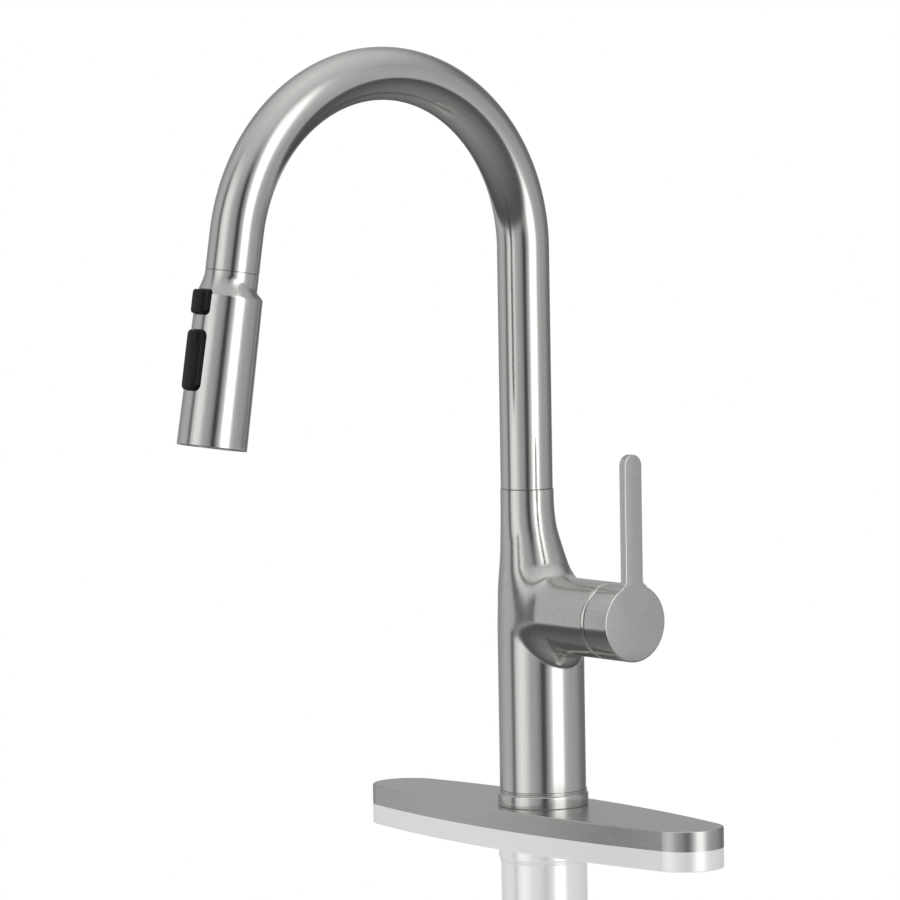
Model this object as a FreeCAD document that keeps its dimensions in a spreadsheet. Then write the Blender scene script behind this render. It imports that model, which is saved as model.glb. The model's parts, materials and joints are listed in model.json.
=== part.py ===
import FreeCAD, Part
import math
import os
import Sketcher

# Pull-down kitchen faucet on a deck plate, in millimetres.
# Origin: centre of the deck plate's underside, on the counter. +X runs along the plate to the handle,
# -Y points over the sink, +Z is up.

doc = FreeCAD.newDocument("PullDownFaucet")
sheet = doc.addObject("Spreadsheet::Sheet", "Sizes")
Vector = FreeCAD.Vector
node_objects = []
row = 0


class Size:
    """A length or angle that carries its number and the formula that the document binds."""

    def __init__(self, value, formula):
        self.value = float(value)
        self.formula = formula

    @staticmethod
    def of(other):
        return other if isinstance(other, Size) else Size(other, repr(float(other)))

    def __add__(self, other):
        other = Size.of(other)
        return Size(self.value + other.value, f"({self.formula} + {other.formula})")

    def __sub__(self, other):
        other = Size.of(other)
        return Size(self.value - other.value, f"({self.formula} - {other.formula})")

    def __mul__(self, other):
        other = Size.of(other)
        return Size(self.value * other.value, f"({self.formula} * {other.formula})")

    def __truediv__(self, other):
        other = Size.of(other)
        return Size(self.value / other.value, f"({self.formula} / {other.formula})")

    def __radd__(self, other):
        return Size.of(other) + self

    def __rsub__(self, other):
        return Size.of(other) - self

    def __rmul__(self, other):
        return Size.of(other) * self

    def __neg__(self):
        return Size(-self.value, f"(0 - {self.formula})")

    def root(self):
        return Size(math.sqrt(self.value), f"sqrt({self.formula})")

    def sine(self):
        return Size(math.sin(math.radians(self.value)), f"sin({self.formula} * 1 deg)")

    def cosine(self):
        return Size(math.cos(math.radians(self.value)), f"cos({self.formula} * 1 deg)")


def size(alias, value, note):
    """Enter one driving dimension in the sheet and return it."""
    global row
    row += 1
    sheet.set(f"A{row}", note)
    sheet.set(f"B{row}", str(value))
    sheet.setAlias(f"B{row}", alias)
    return Size(value, f"Sizes.{alias}")


# ---------------------------------------------------------------- driving dimensions
fit_gap = size("fit_gap", 0.05, "radial gap between fixed fitted pieces")
shaft_gap = size("shaft_gap", 0.06, "radial running gap of pins and bearings")
move_gap = size("move_gap", 0.35, "gap between surfaces that pass each other")

plate_length = size("plate_length", 275, "deck plate length")
plate_width = size("plate_width", 63, "deck plate width")
plate_height = size("plate_height", 10.8, "deck plate height")
plate_wall = size("plate_wall", 1.8, "deck plate wall")
plate_end_radius = size("plate_end_radius", 20, "plan radius at the plate's ends")
plate_edge = size("plate_edge", 0.8, "rounding of the plate's top edge")
deck_hole_radius = size("deck_hole_radius", 17.5, "shank hole in plate and liner")
liner_floor = size("liner_floor", 1.8, "liner sheet thickness")
gasket_width = size("gasket_width", 4, "deck gasket width")
gasket_height = size("gasket_height", 1.2, "deck gasket thickness")

column_radius = size("column_radius", 23.2, "body column radius")
foot_radius = size("foot_radius", 21, "spigot of the column inside the base ring")
ring_radius = size("ring_radius", 24.3, "base ring radius")
ring_height = size("ring_height", 8.5, "base ring height")
seal_height = size("seal_height", 1.8, "seal under the column's foot")
handle_height = size("handle_height", 114.5, "height of the handle's axis")
housing_radius = size("housing_radius", 20.6, "handle housing radius")
housing_end = size("housing_end", 60, "reach of the handle housing along +X")
seam_height = size("seam_height", 181, "height of the swivel seam")
riser_offset = size("riser_offset", 10, "riser axis behind the column axis, towards -X")
elbow_radius = size("elbow_radius", 40, "sweep from riser to housing")

shank_radius = size("shank_radius", 16, "threaded shank radius")
shank_bore = size("shank_bore", 14, "threaded shank bore radius")
shank_length = size("shank_length", 62, "shank length below the deck")
shank_engagement = size("shank_engagement", 15, "shank length inside the column")
deck_thickness = size("deck_thickness", 30, "counter thickness between plate and washers")
nut_across_flats = size("nut_across_flats", 44, "lock nut across flats")
nut_height = size("nut_height", 12, "lock nut height")
washer_radius = size("washer_radius", 29, "clamping washer radius")
rubber_height = size("rubber_height", 3, "rubber washer thickness")
steel_height = size("steel_height", 1.5, "steel washer thickness")

nut_collar = size("nut_collar", 2.5, "height of the lock nut's round collar")

tail_radius = size("tail_radius", 4, "supply tail radius")
tail_wall = size("tail_wall", 0.8, "supply tail wall")
tail_length = size("tail_length", 100, "supply tail reach below the deck")
tail_side = size("tail_side", 9, "hot and cold tails each side of the centre")
tail_forward = size("tail_forward", 2.5, "hot and cold tails along +X")
outlet_forward = size("outlet_forward", 9.5, "mixed outlet tail along +X")
socket_depth = size("socket_depth", 34, "tail sockets above the shank")
fitting_across_flats = size("fitting_across_flats", 16, "supply fitting across flats")
fitting_height = size("fitting_height", 8, "height of the supply fitting's hexagon")
fitting_thread_radius = size("fitting_thread_radius", 7.14, "supply thread, outer radius")
fitting_thread_length = size("fitting_thread_length", 12, "supply thread length")
port_radius = size("port_radius", 3, "water way radius in the body")
ring_section = size("ring_section", 0.75, "section radius of the tail O-rings")

tube_radius = size("tube_radius", 14, "gooseneck tube radius")
tube_wall = size("tube_wall", 1.5, "gooseneck tube wall")
arch_radius = size("arch_radius", 95.7, "gooseneck centreline radius")
arch_height = size("arch_height", 310.2, "height of the arch's centre")
head_tilt = size("head_tilt", 9.6, "lean of the spray head out of plumb, degrees")
spout_straight = size("spout_straight", 20.5, "straight end of the spout")
spigot_radius = size("spigot_radius", 11.6, "swivel spigot radius")
spigot_depth = size("spigot_depth", 32, "swivel spigot depth in the body")
spigot_rise = size("spigot_rise", 24, "swivel spigot length inside the tube")
body_bore = size("body_bore", 12.3, "swivel bore radius")
screw_seat = size("screw_seat", 2.2, "radius of the spout's set screw")
screw_rise = size("screw_rise", 9.6, "set screw above the lower end of the swivel spigot")
screw_groove = size("screw_groove", 1.2, "depth of the spigot's groove round the set screw's tip")
seal_groove = size("seal_groove", 1.6, "depth of the swivel seals' grooves")
hose_radius = size("hose_radius", 5.5, "pull hose radius")
hose_channel = size("hose_channel", 8.2, "radius of the hose's way through the body")
hose_shift = size("hose_shift", 2.2, "hose offset in the shank, towards +X of the riser axis")

chamber_radius = size("chamber_radius", 18, "valve chamber radius")
seat_reach = size("seat_reach", 20, "valve seat along +X")
pivot_reach = size("pivot_reach", 49, "lever pivot along +X")
dome_radius = size("dome_radius", 21.5, "dome cover radius about the lever pivot")
hub_cavity = size("hub_cavity", 22.9, "hollow of the hub about the lever pivot")
hub_gap = size("hub_gap", 1.3, "gap between housing and hub")
handle_reach = size("handle_reach", 79, "outer face of the handle along +X")
blade_thickness = size("blade_thickness", 4.6, "lever blade thickness")
blade_width = size("blade_width", 12, "lever blade width")
blade_top = size("blade_top", 89.3, "lever tip above the handle's axis")
stem_side = size("stem_side", 8, "square lever stem")
disc_arm = size("disc_arm", 8.3, "pivot to the stem's ball")
ball_tip = size("ball_tip", 1.9, "radius of the stem's ball")
screw_radius = size("screw_radius", 2, "handle set screw radius")

head_top_radius = size("head_top_radius", 17.4, "spray head radius below its shoulder")
head_face_radius = size("head_face_radius", 18.3, "spray head radius at the face")
head_length = size("head_length", 91.4, "spray head length below the seam")
shoulder_drop = size("shoulder_drop", 12, "length of the spray head's shoulder")
head_wall = size("head_wall", 2, "spray head wall")
dock_depth = size("dock_depth", 10, "docking spigot length")
dock_radius = size("dock_radius", 9.8, "docking spigot radius")
sleeve_length = size("sleeve_length", 19.5, "dock sleeve length")
ball_radius = size("ball_radius", 5.4, "hose swivel ball radius")
ferrule_radius = size("ferrule_radius", 6.4, "hose ferrule radius")
ferrule_length = size("ferrule_length", 9, "hose ferrule length")
ferrule_rise = size("ferrule_rise", 20, "top of the hose ferrule above the seam")
core_radius = size("core_radius", 9.5, "water way core radius")
button_width = size("button_width", 12.4, "button width")
button_gap = size("button_gap", 0.5, "gap round each button")
button_proud = size("button_proud", 2.8, "height of the buttons over the shell")
pause_drop = size("pause_drop", 17.2, "pause button below the seam")
pause_length = size("pause_length", 12.6, "pause button length")
pause_travel = size("pause_travel", 1.5, "pause button travel")
plunger_radius = size("plunger_radius", 2.4, "radius of the pause button's plunger")
spring_wire = size("spring_wire", 0.3, "wire radius of the pause spring")
rocker_drop = size("rocker_drop", 47.5, "mode rocker below the seam")
rocker_length = size("rocker_length", 31, "mode rocker length")
rocker_pin = size("rocker_pin", 1.2, "rocker pin radius")
face_inset = size("face_inset", 1.2, "spray face behind the shell's rim")
aerator_radius = size("aerator_radius", 7.5, "aerator radius")
nozzle_radius = size("nozzle_radius", 0.9, "spray nozzle radius")
doc.recompute()

# ---------------------------------------------------------------- places that several pieces share
seal_rises = (14.2, 19)
ring_top = plate_height + ring_height
shank_top = plate_height + seal_height + shank_engagement
socket_top = shank_top + socket_depth
spout_drop_y = -(arch_radius + arch_radius * head_tilt.cosine() + spout_straight * head_tilt.sine())
seam_y = spout_drop_y
seam_z = arch_height + arch_radius * head_tilt.sine() - spout_straight * head_tilt.cosine()


# ---------------------------------------------------------------- helpers
def bind(obj, prop, value):
    value = Size.of(value)
    obj.setExpression(prop, value.formula)


def place(obj, x=0, y=0, z=0, axis=None, angle=0):
    """Give an object its Placement: a turn about an axis, then a move."""
    turn = FreeCAD.Rotation(axis, Size.of(angle).value) if axis else FreeCAD.Rotation()
    here = Vector(Size.of(x).value, Size.of(y).value, Size.of(z).value)
    obj.Placement = FreeCAD.Placement(here, turn)
    for prop, value in (("x", x), ("y", y), ("z", z)):
        if isinstance(value, Size):
            bind(obj, f"Placement.Base.{prop}", value)
    if isinstance(angle, Size):
        bind(obj, "Placement.Rotation.Angle", angle)
    return obj


def keep(obj, label):
    """Name a finished sub-part; its Label is its file's name."""
    obj.Label = label
    node_objects.append(obj)
    return obj


def valve_frame(obj):
    """Local Z along the handle's axis, local -X upwards, origin on the column's axis."""
    return place(obj, 0, 0, handle_height, Vector(0, 1, 0), 90)


def head_frame(obj):
    """Local Z up the spray head's axis, origin at the seam between spout and head."""
    return place(obj, -riser_offset, seam_y, seam_z, Vector(-1, 0, 0), head_tilt)


def origin_plane(body, role):
    return [item for item in body.Origin.OriginFeatures if item.Role == role][0]


def arc_between(start, end, radius):
    """A counter-clockwise arc whose ends are start and end; a negative radius hollows the way."""
    if radius < 0:
        start, end = end, start
    radius = abs(radius)
    chord = end - start
    rise = math.sqrt(max(radius * radius - chord.Length ** 2 / 4, 0))
    left = Vector(-chord.y, chord.x, 0).normalize()
    centre = (start + end) * 0.5 + left * rise
    turn_start = math.atan2(start.y - centre.y, start.x - centre.x)
    turn_end = math.atan2(end.y - centre.y, end.x - centre.x)
    circle = Part.Circle(centre, Vector(0, 0, 1), radius)
    return Part.ArcOfCircle(circle, turn_start, turn_end)


def draw(sketch, outline):
    """Draw a closed outline, counter-clockwise. A corner is (x, y), or (x, y, r) where an arc of
    radius r arrives; the arc bulges out, or hollows the outline if r is negative."""
    count = len(outline)
    first = sketch.GeometryCount
    flat = [Vector(Size.of(c[0]).value, Size.of(c[1]).value, 0) for c in outline]
    for index in range(count):
        start = flat[index]
        end = flat[(index + 1) % count]
        corner = outline[(index + 1) % count]
        if len(corner) == 2:
            sketch.addGeometry(Part.LineSegment(start, end), False)
        else:
            sketch.addGeometry(arc_between(start, end, Size.of(corner[2]).value), False)
    for index in range(count):
        here = first + index
        before = first + (index - 1) % count
        arc_before = len(outline[index]) == 3
        arc_here = len(outline[(index + 1) % count]) == 3
        end_before = arc_point(sketch, before, flat[index]) if arc_before else 2
        start_here = arc_point(sketch, here, flat[index]) if arc_here else 1
        sketch.addConstraint(Sketcher.Constraint("Coincident", before, end_before, here, start_here))
        corner_x, corner_y = outline[index][:2]
        for kind, value, axis in (("DistanceX", corner_x, -2), ("DistanceY", corner_y, -1)):
            value = Size.of(value)
            if value.value == 0:
                sketch.addConstraint(Sketcher.Constraint("PointOnObject", here, start_here, axis))
                continue
            number = sketch.addConstraint(
                Sketcher.Constraint(kind, -1, 1, here, start_here, value.value)
            )
            sketch.setExpression(f"Constraints[{number}]", value.formula)
    for index in range(count):
        corner = outline[(index + 1) % count]
        if len(corner) == 3:
            radius = Size.of(corner[2])
            radius = radius if radius.value > 0 else -radius
            number = sketch.addConstraint(Sketcher.Constraint("Radius", first + index, radius.value))
            sketch.setExpression(f"Constraints[{number}]", radius.formula)


def arc_point(sketch, index, point):
    """Which end of an arc lies at a point: 1 for its start, 2 for its end."""
    arc = sketch.Geometry[index]
    return 1 if (arc.StartPoint - point).Length < (arc.EndPoint - point).Length else 2


def sketch_on(body, role):
    sketch = body.newObject("Sketcher::SketchObject", body.Name + "_outline")
    sketch.AttachmentSupport = (origin_plane(body, role), [""])
    sketch.MapMode = "FlatFace"
    return sketch


def turned(label, outline):
    """A body turned about its local Z axis from (radius, height) corners."""
    body = doc.addObject("PartDesign::Body", label)
    sketch = sketch_on(body, "XZ_Plane")
    draw(sketch, outline)
    turn = body.newObject("PartDesign::Revolution", label + "_turn")
    turn.Profile = sketch
    turn.ReferenceAxis = (sketch, ["V_Axis"])
    turn.Angle = 360
    sketch.Visibility = False
    return body


def extruded(label, outlines, height, role="XY_Plane"):
    """A body padded from one outline, or from an outer and inner ones."""
    body = doc.addObject("PartDesign::Body", label)
    sketch = sketch_on(body, role)
    for outline in outlines:
        draw(sketch, outline)
    pad = body.newObject("PartDesign::Pad", label + "_pad")
    pad.Profile = sketch
    bind(pad, "Length", height)
    sketch.Visibility = False
    return body


def oval(inset):
    """The deck plate's plan: long shallow arcs on the sides, tight ones at the ends."""
    half_length = plate_length / 2 - inset
    half_width = plate_width / 2 - inset
    end_radius = plate_end_radius - inset
    reach = half_length - end_radius
    side_radius = (reach * reach + half_width * half_width - end_radius * end_radius) / (
        2 * (half_width - end_radius)
    )
    span = side_radius - end_radius
    x = reach + end_radius * reach / span
    y = end_radius * (side_radius - half_width) / span
    return [(x, -y, side_radius), (x, y, end_radius), (-x, y, side_radius), (-x, -y, end_radius)]


def cylinder(radius, height, x=0, y=0, z=0, axis=None, angle=0):
    obj = doc.addObject("Part::Cylinder", "Cylinder")
    bind(obj, "Radius", radius)
    bind(obj, "Height", height)
    return place(obj, x, y, z, axis, angle)


def ball(radius, x=0, y=0, z=0):
    obj = doc.addObject("Part::Sphere", "Ball")
    bind(obj, "Radius", radius)
    return place(obj, x, y, z)


def box(x_size, y_size, z_size, x=0, y=0, z=0):
    """A box centred on its place in X and Y, standing on it in Z."""
    obj = doc.addObject("Part::Box", "Block")
    bind(obj, "Length", x_size)
    bind(obj, "Width", y_size)
    bind(obj, "Height", z_size)
    return place(obj, x - Size.of(x_size) / 2, y - Size.of(y_size) / 2, Size.of(z))


def hexagon(across_flats, height, x=0, y=0, z=0):
    """A six-sided bar with flats facing along Y."""
    obj = doc.addObject("Part::Prism", "Hexagon")
    obj.Polygon = 6
    bind(obj, "Circumradius", across_flats / math.sqrt(3))
    bind(obj, "Height", height)
    return place(obj, x, y, z)


def torus(radius, section, x=0, y=0, z=0):
    obj = doc.addObject("Part::Torus", "Ring")
    bind(obj, "Radius1", radius)
    bind(obj, "Radius2", section)
    return place(obj, x, y, z)


def fused(*shapes):
    obj = doc.addObject("Part::MultiFuse", "Joined")
    obj.Shapes = list(shapes)
    return obj


def common(base, tool):
    obj = doc.addObject("Part::Common", "Shared")
    obj.Base = base
    obj.Tool = tool
    return obj


def cut(base, *tools):
    obj = doc.addObject("Part::Cut", "Cut")
    obj.Base = base
    obj.Tool = tools[0] if len(tools) == 1 else fused(*tools)
    return obj


def group(*shapes):
    """Several separate solids that are one kind of piece."""
    obj = doc.addObject("Part::Compound", "Group")
    obj.Links = list(shapes)
    return obj


# ---------------------------------------------------------------- deck plate, liner and gasket
def make_deck_plate():
    body = extruded("deck_plate", [oval(Size.of(0))], plate_height)
    doc.recompute()
    pad = body.Tip
    top = [
        f"Edge{number + 1}"
        for number, edge in enumerate(pad.Shape.Edges)
        if edge.BoundBox.ZMin > plate_height.value - 0.01
    ]
    rounding = body.newObject("PartDesign::Fillet", "deck_plate_edge")
    rounding.Base = (pad, top)
    bind(rounding, "Radius", plate_edge)
    body.Tip = rounding
    for name, outline, depth in (
        ("deck_plate_hollow", oval(plate_wall), plate_height - plate_wall),
        ("deck_plate_hole", circle_outline(deck_hole_radius), plate_height),
    ):
        sketch = sketch_on(body, "XY_Plane")
        draw(sketch, outline)
        pocket = body.newObject("PartDesign::Pocket", name)
        pocket.Profile = sketch
        pocket.Reversed = True
        bind(pocket, "Length", depth)
        doc.recompute()
    keep(body, "deck_plate")


def circle_outline(radius):
    return [(radius, 0, radius), (0, radius, radius), (-radius, 0, radius), (0, -radius, radius)]


def make_plate_liner():
    wall = plate_wall + fit_gap
    rim_height = plate_height - plate_wall - fit_gap
    floor = extruded("liner_floor_sheet", [oval(wall)], liner_floor)
    rim = extruded("liner_rim", [oval(wall), oval(wall + 1.6)], rim_height)
    boss = cylinder(deck_hole_radius + 6, rim_height)
    ribs = []
    for side in (-1, 1):
        for share in (0.25, 0.5, 0.75):
            x = side * share * (plate_length / 2)
            limit = extruded("rib_limit", [oval(wall)], rim_height)
            ribs.append(common(box(1.6, plate_width, rim_height, x), limit))
    groove_inner = wall + 1 + gasket_width + 2 * fit_gap
    groove = extruded("liner_groove", [oval(wall + 1), oval(groove_inner)], gasket_height)
    shank_hole = cylinder(deck_hole_radius, plate_height)
    keep(cut(fused(floor, rim, boss, *ribs), shank_hole, groove), "plate_liner")
    inset = wall + 1 + fit_gap
    keep(extruded("gasket_ring", [oval(inset), oval(inset + gasket_width)], gasket_height), "deck_gasket")


# ---------------------------------------------------------------- base ring and clamping stack
def make_base():
    bore = foot_radius + fit_gap
    shoulder = 1.8
    ring = turned(
        "base_ring_body",
        [
            (bore, plate_height),
            (ring_radius, plate_height),
            (ring_radius, ring_top - shoulder - 0.5),
            (ring_radius - 0.9, ring_top, shoulder * 1.5),
            (bore, ring_top),
        ],
    )
    keep(ring, "base_ring")
    seal = turned(
        "foot_seal_body", tube_outline(shank_radius + 1, foot_radius - 0.2, plate_height, seal_height)
    )
    keep(seal, "foot_seal")
    shank = turned(
        "shank_body", tube_outline(shank_bore, shank_radius, -shank_length, shank_length + shank_top)
    )
    keep(shank, "mounting_shank")
    clear = shank_radius + 0.4
    rubber_low = -deck_thickness - rubber_height
    rubber = turned("rubber_washer_body", tube_outline(clear, washer_radius, rubber_low, rubber_height))
    keep(rubber, "rubber_washer")
    steel_low = rubber_low - steel_height
    steel = turned("steel_washer_body", tube_outline(clear, washer_radius - 0.5, steel_low, steel_height))
    keep(steel, "steel_washer")
    nut_low = steel_low - nut_height
    body = hexagon(nut_across_flats, nut_height, 0, 0, nut_low)
    collar = cylinder(washer_radius - 3, nut_collar, 0, 0, steel_low - nut_collar)
    nut = cut(fused(body, collar), cylinder(shank_radius + fit_gap, nut_height, 0, 0, nut_low))
    keep(nut, "lock_nut")


def tube_outline(inner, outer, low, height):
    return [(inner, low), (outer, low), (outer, low + height), (inner, low + height)]


# ---------------------------------------------------------------- supply and outlet tails
tail_places = {
    "hot": (tail_forward, tail_side),
    "cold": (tail_forward, -tail_side),
    "outlet": (outlet_forward, 0),
}


def make_tails():
    for name, (x, y) in tail_places.items():
        low = -tail_length if name != "outlet" else -(shank_length + 4)
        outline = tube_outline(tail_radius - tail_wall, tail_radius, low, socket_top - low)
        tube = turned(name + "_tail_body", outline)
        keep(place(tube, x, y, 0), name + "_tail")
    seals = [
        torus(tail_radius + ring_section, ring_section - 0.02, x, y, shank_top + ring_section + 0.1)
        for x, y in tail_places.values()
    ]
    keep(group(*seals), "tail_seals")
    for name in ("hot", "cold"):
        x, y = tail_places[name]
        nut = hexagon(fitting_across_flats, fitting_height, x, y, -tail_length)
        thread_low = -tail_length - fitting_thread_length
        thread = cylinder(fitting_thread_radius, fitting_thread_length, x, y, thread_low)
        socket = cylinder(tail_radius + fit_gap, fitting_height, x, y, -tail_length)
        way = cylinder(tail_radius - tail_wall, fitting_thread_length, x, y, thread_low)
        keep(cut(fused(nut, thread), socket, way), name + "_inlet_fitting")
    x, y = tail_places["outlet"]
    low = -(shank_length + 4)
    spigot = turned(
        "outlet_spigot_body",
        [
            (3.2, low - 14),
            (4.75, low - 14),
            (4.75, low - 9),
            (4, low - 9),
            (4, low - 7),
            (4.75, low - 7),
            (4.75, low - 4),
            (5.6, low - 4),
            (5.6, low + 3),
            (tail_radius + fit_gap, low + 3),
            (tail_radius + fit_gap, low),
            (3.2, low),
        ],
    )
    keep(place(spigot, x, y, 0), "outlet_spigot")


# ---------------------------------------------------------------- cast body
def wire_circle(x, z, radius, lean):
    """A circle in the body's mirror plane; lean 0 faces down, 90 faces along +X."""
    turn = math.radians(lean)
    normal = Vector(math.sin(turn), 0, -math.cos(turn))
    return Part.Wire([Part.makeCircle(radius, Vector(x, 0, z), normal)])


def casting_shape():
    """Column, neck, and the bend of metal between the neck and the handle housing."""
    hub_z = handle_height.value
    offset = -riser_offset.value
    bend = elbow_radius.value
    neck = tube_radius.value
    wide = column_radius.value
    sections = [wire_circle(offset, seam_height.value, neck, 0)]
    sections.append(wire_circle(offset, hub_z + bend + 14, neck, 0))
    steps = 6
    for step in range(1, steps):
        share = step / steps
        turn = math.radians(90 * share)
        swell = share * share * (3 - 2 * share)
        x = offset + bend * (1 - math.cos(turn))
        z = hub_z + bend * (1 - math.sin(turn))
        sections.append(wire_circle(x, z, neck + (housing_radius.value - 0.2 - neck) * swell, 90 * share))
    for extra in (3, 8):
        sections.append(wire_circle(offset + bend + extra, hub_z, housing_radius.value - 0.2, 90))
    bend_solid = Part.makeLoft(sections, True, False)
    foot = ring_top.value
    waist = hub_z - 10
    column = Part.makeCylinder(wide, waist - foot, Vector(0, 0, foot))
    rise = seam_height.value - 16 - waist
    shoulder = []
    for share in (0, 0.14, 0.36, 0.64, 0.84, 1):
        swell = share * share * (3 - 2 * share)
        x = (offset + 0.4) * swell
        shoulder.append(wire_circle(x, waist + rise * share, wide + (neck - 0.9 - wide) * swell, 0))
    shoulder_solid = Part.makeLoft(shoulder, True, False)
    round_depth = 2.0
    round_rise = 1.05
    edge = housing_radius.value - round_rise
    lip_reach = housing_end.value - round_depth
    barrel = Part.makeCylinder(housing_radius.value, lip_reach, Vector(0, 0, hub_z), Vector(1, 0, 0))
    lip_foot = Vector(lip_reach, 0, hub_z)
    lip = Part.makeCone(housing_radius.value, edge, round_depth, lip_foot, Vector(1, 0, 0))
    spigot_low = (plate_height + seal_height).value
    spigot = Part.makeCylinder(foot_radius.value, foot - spigot_low, Vector(0, 0, spigot_low))
    return column.fuse([shoulder_solid, bend_solid, barrel, lip, spigot])


def across(radius, start, end):
    """A bar along +Y at the spout's set screw, from start to end."""
    height = seam_height - spigot_depth + screw_rise
    return cylinder(radius, end - start, -riser_offset, start, height, Vector(1, 0, 0), -90)


def make_body():
    casting = doc.addObject("Part::Feature", "Casting")
    casting.Shape = casting_shape()
    shank_low = plate_height + seal_height
    seat_ports = []
    for name, (x, y) in tail_places.items():
        port_z = handle_height + (3.5 if name != "outlet" else -7.5)
        seat_ports.append(cylinder(tail_radius + fit_gap, socket_depth, x, y, shank_top))
        seat_ports.append(cylinder(tail_radius + 2 * ring_section, 2 * ring_section + 0.2, x, y, shank_top))
        seat_ports.append(cylinder(port_radius, port_z - socket_top + port_radius, x, y, socket_top))
        seat_ports.append(cylinder(port_radius, seat_reach - x, x, y, port_z, Vector(0, 1, 0), 90))
    chamber_depth = housing_end - seat_reach
    body = cut(
        casting,
        cylinder(shank_radius, shank_engagement, 0, 0, shank_low),
        cylinder(hose_channel, seam_height - shank_top, -riser_offset + hose_shift / 2, 0, shank_top),
        cylinder(body_bore, spigot_depth + 1, -riser_offset, 0, seam_height - spigot_depth - 1),
        cylinder(chamber_radius, chamber_depth, seat_reach, 0, handle_height, Vector(0, 1, 0), 90),
        across(screw_seat + fit_gap, body_bore - 1, tube_radius + 5),
        *seat_ports,
    )
    keep(body, "faucet_body")


# ---------------------------------------------------------------- gooseneck, swivel and hose
def along_gooseneck(radius, low, high_end):
    """A round bar along the gooseneck: riser, arch, and the straight end down to high_end above the seam."""
    riser = cylinder(radius, arch_height - low, -riser_offset, 0, low)
    arch = doc.addObject("Part::Torus", "Arch")
    bind(arch, "Radius1", arch_radius)
    bind(arch, "Radius2", radius)
    bind(arch, "Angle3", 180 - head_tilt)
    place(arch, -riser_offset, -arch_radius, arch_height, Vector(1, 1, 1), 120)
    end = head_frame(group(cylinder(radius, spout_straight - high_end, 0, 0, high_end)))
    return fused(riser, arch, end)


def make_spout():
    tube = cut(
        along_gooseneck(tube_radius, seam_height, Size.of(0)),
        along_gooseneck(tube_radius - tube_wall, seam_height, Size.of(0)),
    )
    keep(tube, "spout_tube")
    in_tube = tube_radius - tube_wall - fit_gap
    low = seam_height - spigot_depth
    bore = hose_channel - 0.4
    tip_radius = screw_seat - 0.6
    grooves = [(screw_rise, tip_radius + move_gap, screw_groove)]
    grooves += [(height, seal_groove * 0.75, seal_groove) for height in seal_rises]
    outline = [(bore, low), (spigot_radius, low)]
    for height, half, depth in grooves:
        outline += [
            (spigot_radius, low + height - half),
            (spigot_radius - depth, low + height - half),
            (spigot_radius - depth, low + height + half),
            (spigot_radius, low + height + half),
        ]
    outline += [
        (spigot_radius, seam_height),
        (in_tube, seam_height),
        (in_tube, seam_height + spigot_rise),
        (bore, seam_height + spigot_rise),
    ]
    keep(place(turned("spigot_body", outline), -riser_offset, 0, 0), "swivel_spigot")
    wear_outer = body_bore - shaft_gap
    wear_height = 4
    rings = [
        turned("wear_ring", tube_outline(spigot_radius + 0.02, wear_outer, height, wear_height))
        for height in (low + 2.8, seam_height - 7)
    ]
    for ring in rings:
        place(ring, -riser_offset, 0, 0)
    keep(group(*rings), "wear_rings")
    section = (wear_outer - spigot_radius + seal_groove) / 2
    seals = [torus(wear_outer - section, section, -riser_offset, 0, low + rise) for rise in seal_rises]
    keep(group(*seals), "swivel_seals")
    tip_end = spigot_radius - screw_groove + move_gap
    screw_end = tube_radius + 0.2
    screw = fused(
        across(screw_seat, spigot_radius + move_gap, screw_end),
        across(tip_radius, tip_end, screw_end),
    )
    keep(cut(screw, across(1, screw_end - 1.4, screw_end)), "spout_set_screw")
    keep(along_gooseneck(hose_radius, seam_height, ferrule_rise), "pull_hose")
    passage = dock_radius + move_gap
    shelf = dock_depth + 0.6
    throat = ferrule_radius + 0.6
    sleeve = turned(
        "dock_sleeve_body",
        [
            (passage, 0),
            (in_tube, 0),
            (in_tube, sleeve_length),
            (throat, sleeve_length),
            (throat, shelf),
            (passage, shelf),
        ],
    )
    keep(head_frame(sleeve), "dock_sleeve")


def straight_hose():
    """The hose's lower stretch: plumb, a slight shift to the shank's free side, plumb again."""
    top = seam_height.value
    x_top = -riser_offset.value
    x_low = x_top + hose_shift.value
    route = [
        Vector(x_top, 0, top),
        Vector(x_top, 0, top - 42),
        Vector(x_low, 0, shank_top.value + 22),
        Vector(x_low, 0, -shank_length.value - 8),
    ]
    edges = []
    start = route[0]
    for before, corner, after in zip(route, route[1:], route[2:]):
        into = (corner - before).normalize()
        away = (after - corner).normalize()
        turn = into.getAngle(away)
        reach = 0.45 * min((corner - before).Length, (after - corner).Length)
        radius = reach / math.tan(turn / 2)
        print("hose bend radius", round(radius, 1))
        arc_start = corner - into * reach
        arc_end = corner + away * reach
        inward = (away - into).normalize()
        centre = corner + inward * (radius / math.cos(turn / 2))
        middle = centre - inward * radius
        edges.append(Part.LineSegment(start, arc_start).toShape())
        edges.append(Part.Arc(arc_start, middle, arc_end).toShape())
        start = arc_end
    edges.append(Part.LineSegment(start, route[-1]).toShape())
    path = Part.Wire(edges)
    section = Part.Wire([Part.makeCircle(hose_radius.value, route[0], Vector(0, 0, -1))])
    solid = path.makePipeShell([section], True, False)
    return solid


def make_lower_hose():
    hose = doc.addObject("Part::Feature", "LowerHose")
    hose.Shape = straight_hose()
    keep(hose, "lower_hose")
    low = -shank_length - 8
    inner = 3.2
    coupling = turned(
        "coupling_body",
        [
            (inner, low - 22),
            (4.75, low - 22),
            (4.75, low - 16),
            (4, low - 16),
            (4, low - 14),
            (4.75, low - 14),
            (4.75, low - 10),
            (ferrule_radius, low - 10),
            (ferrule_radius, low + 4),
            (hose_radius + fit_gap, low + 4),
            (hose_radius + fit_gap, low),
            (inner, low),
        ],
    )
    keep(place(coupling, -riser_offset + hose_shift, 0, 0), "hose_coupling")


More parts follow.
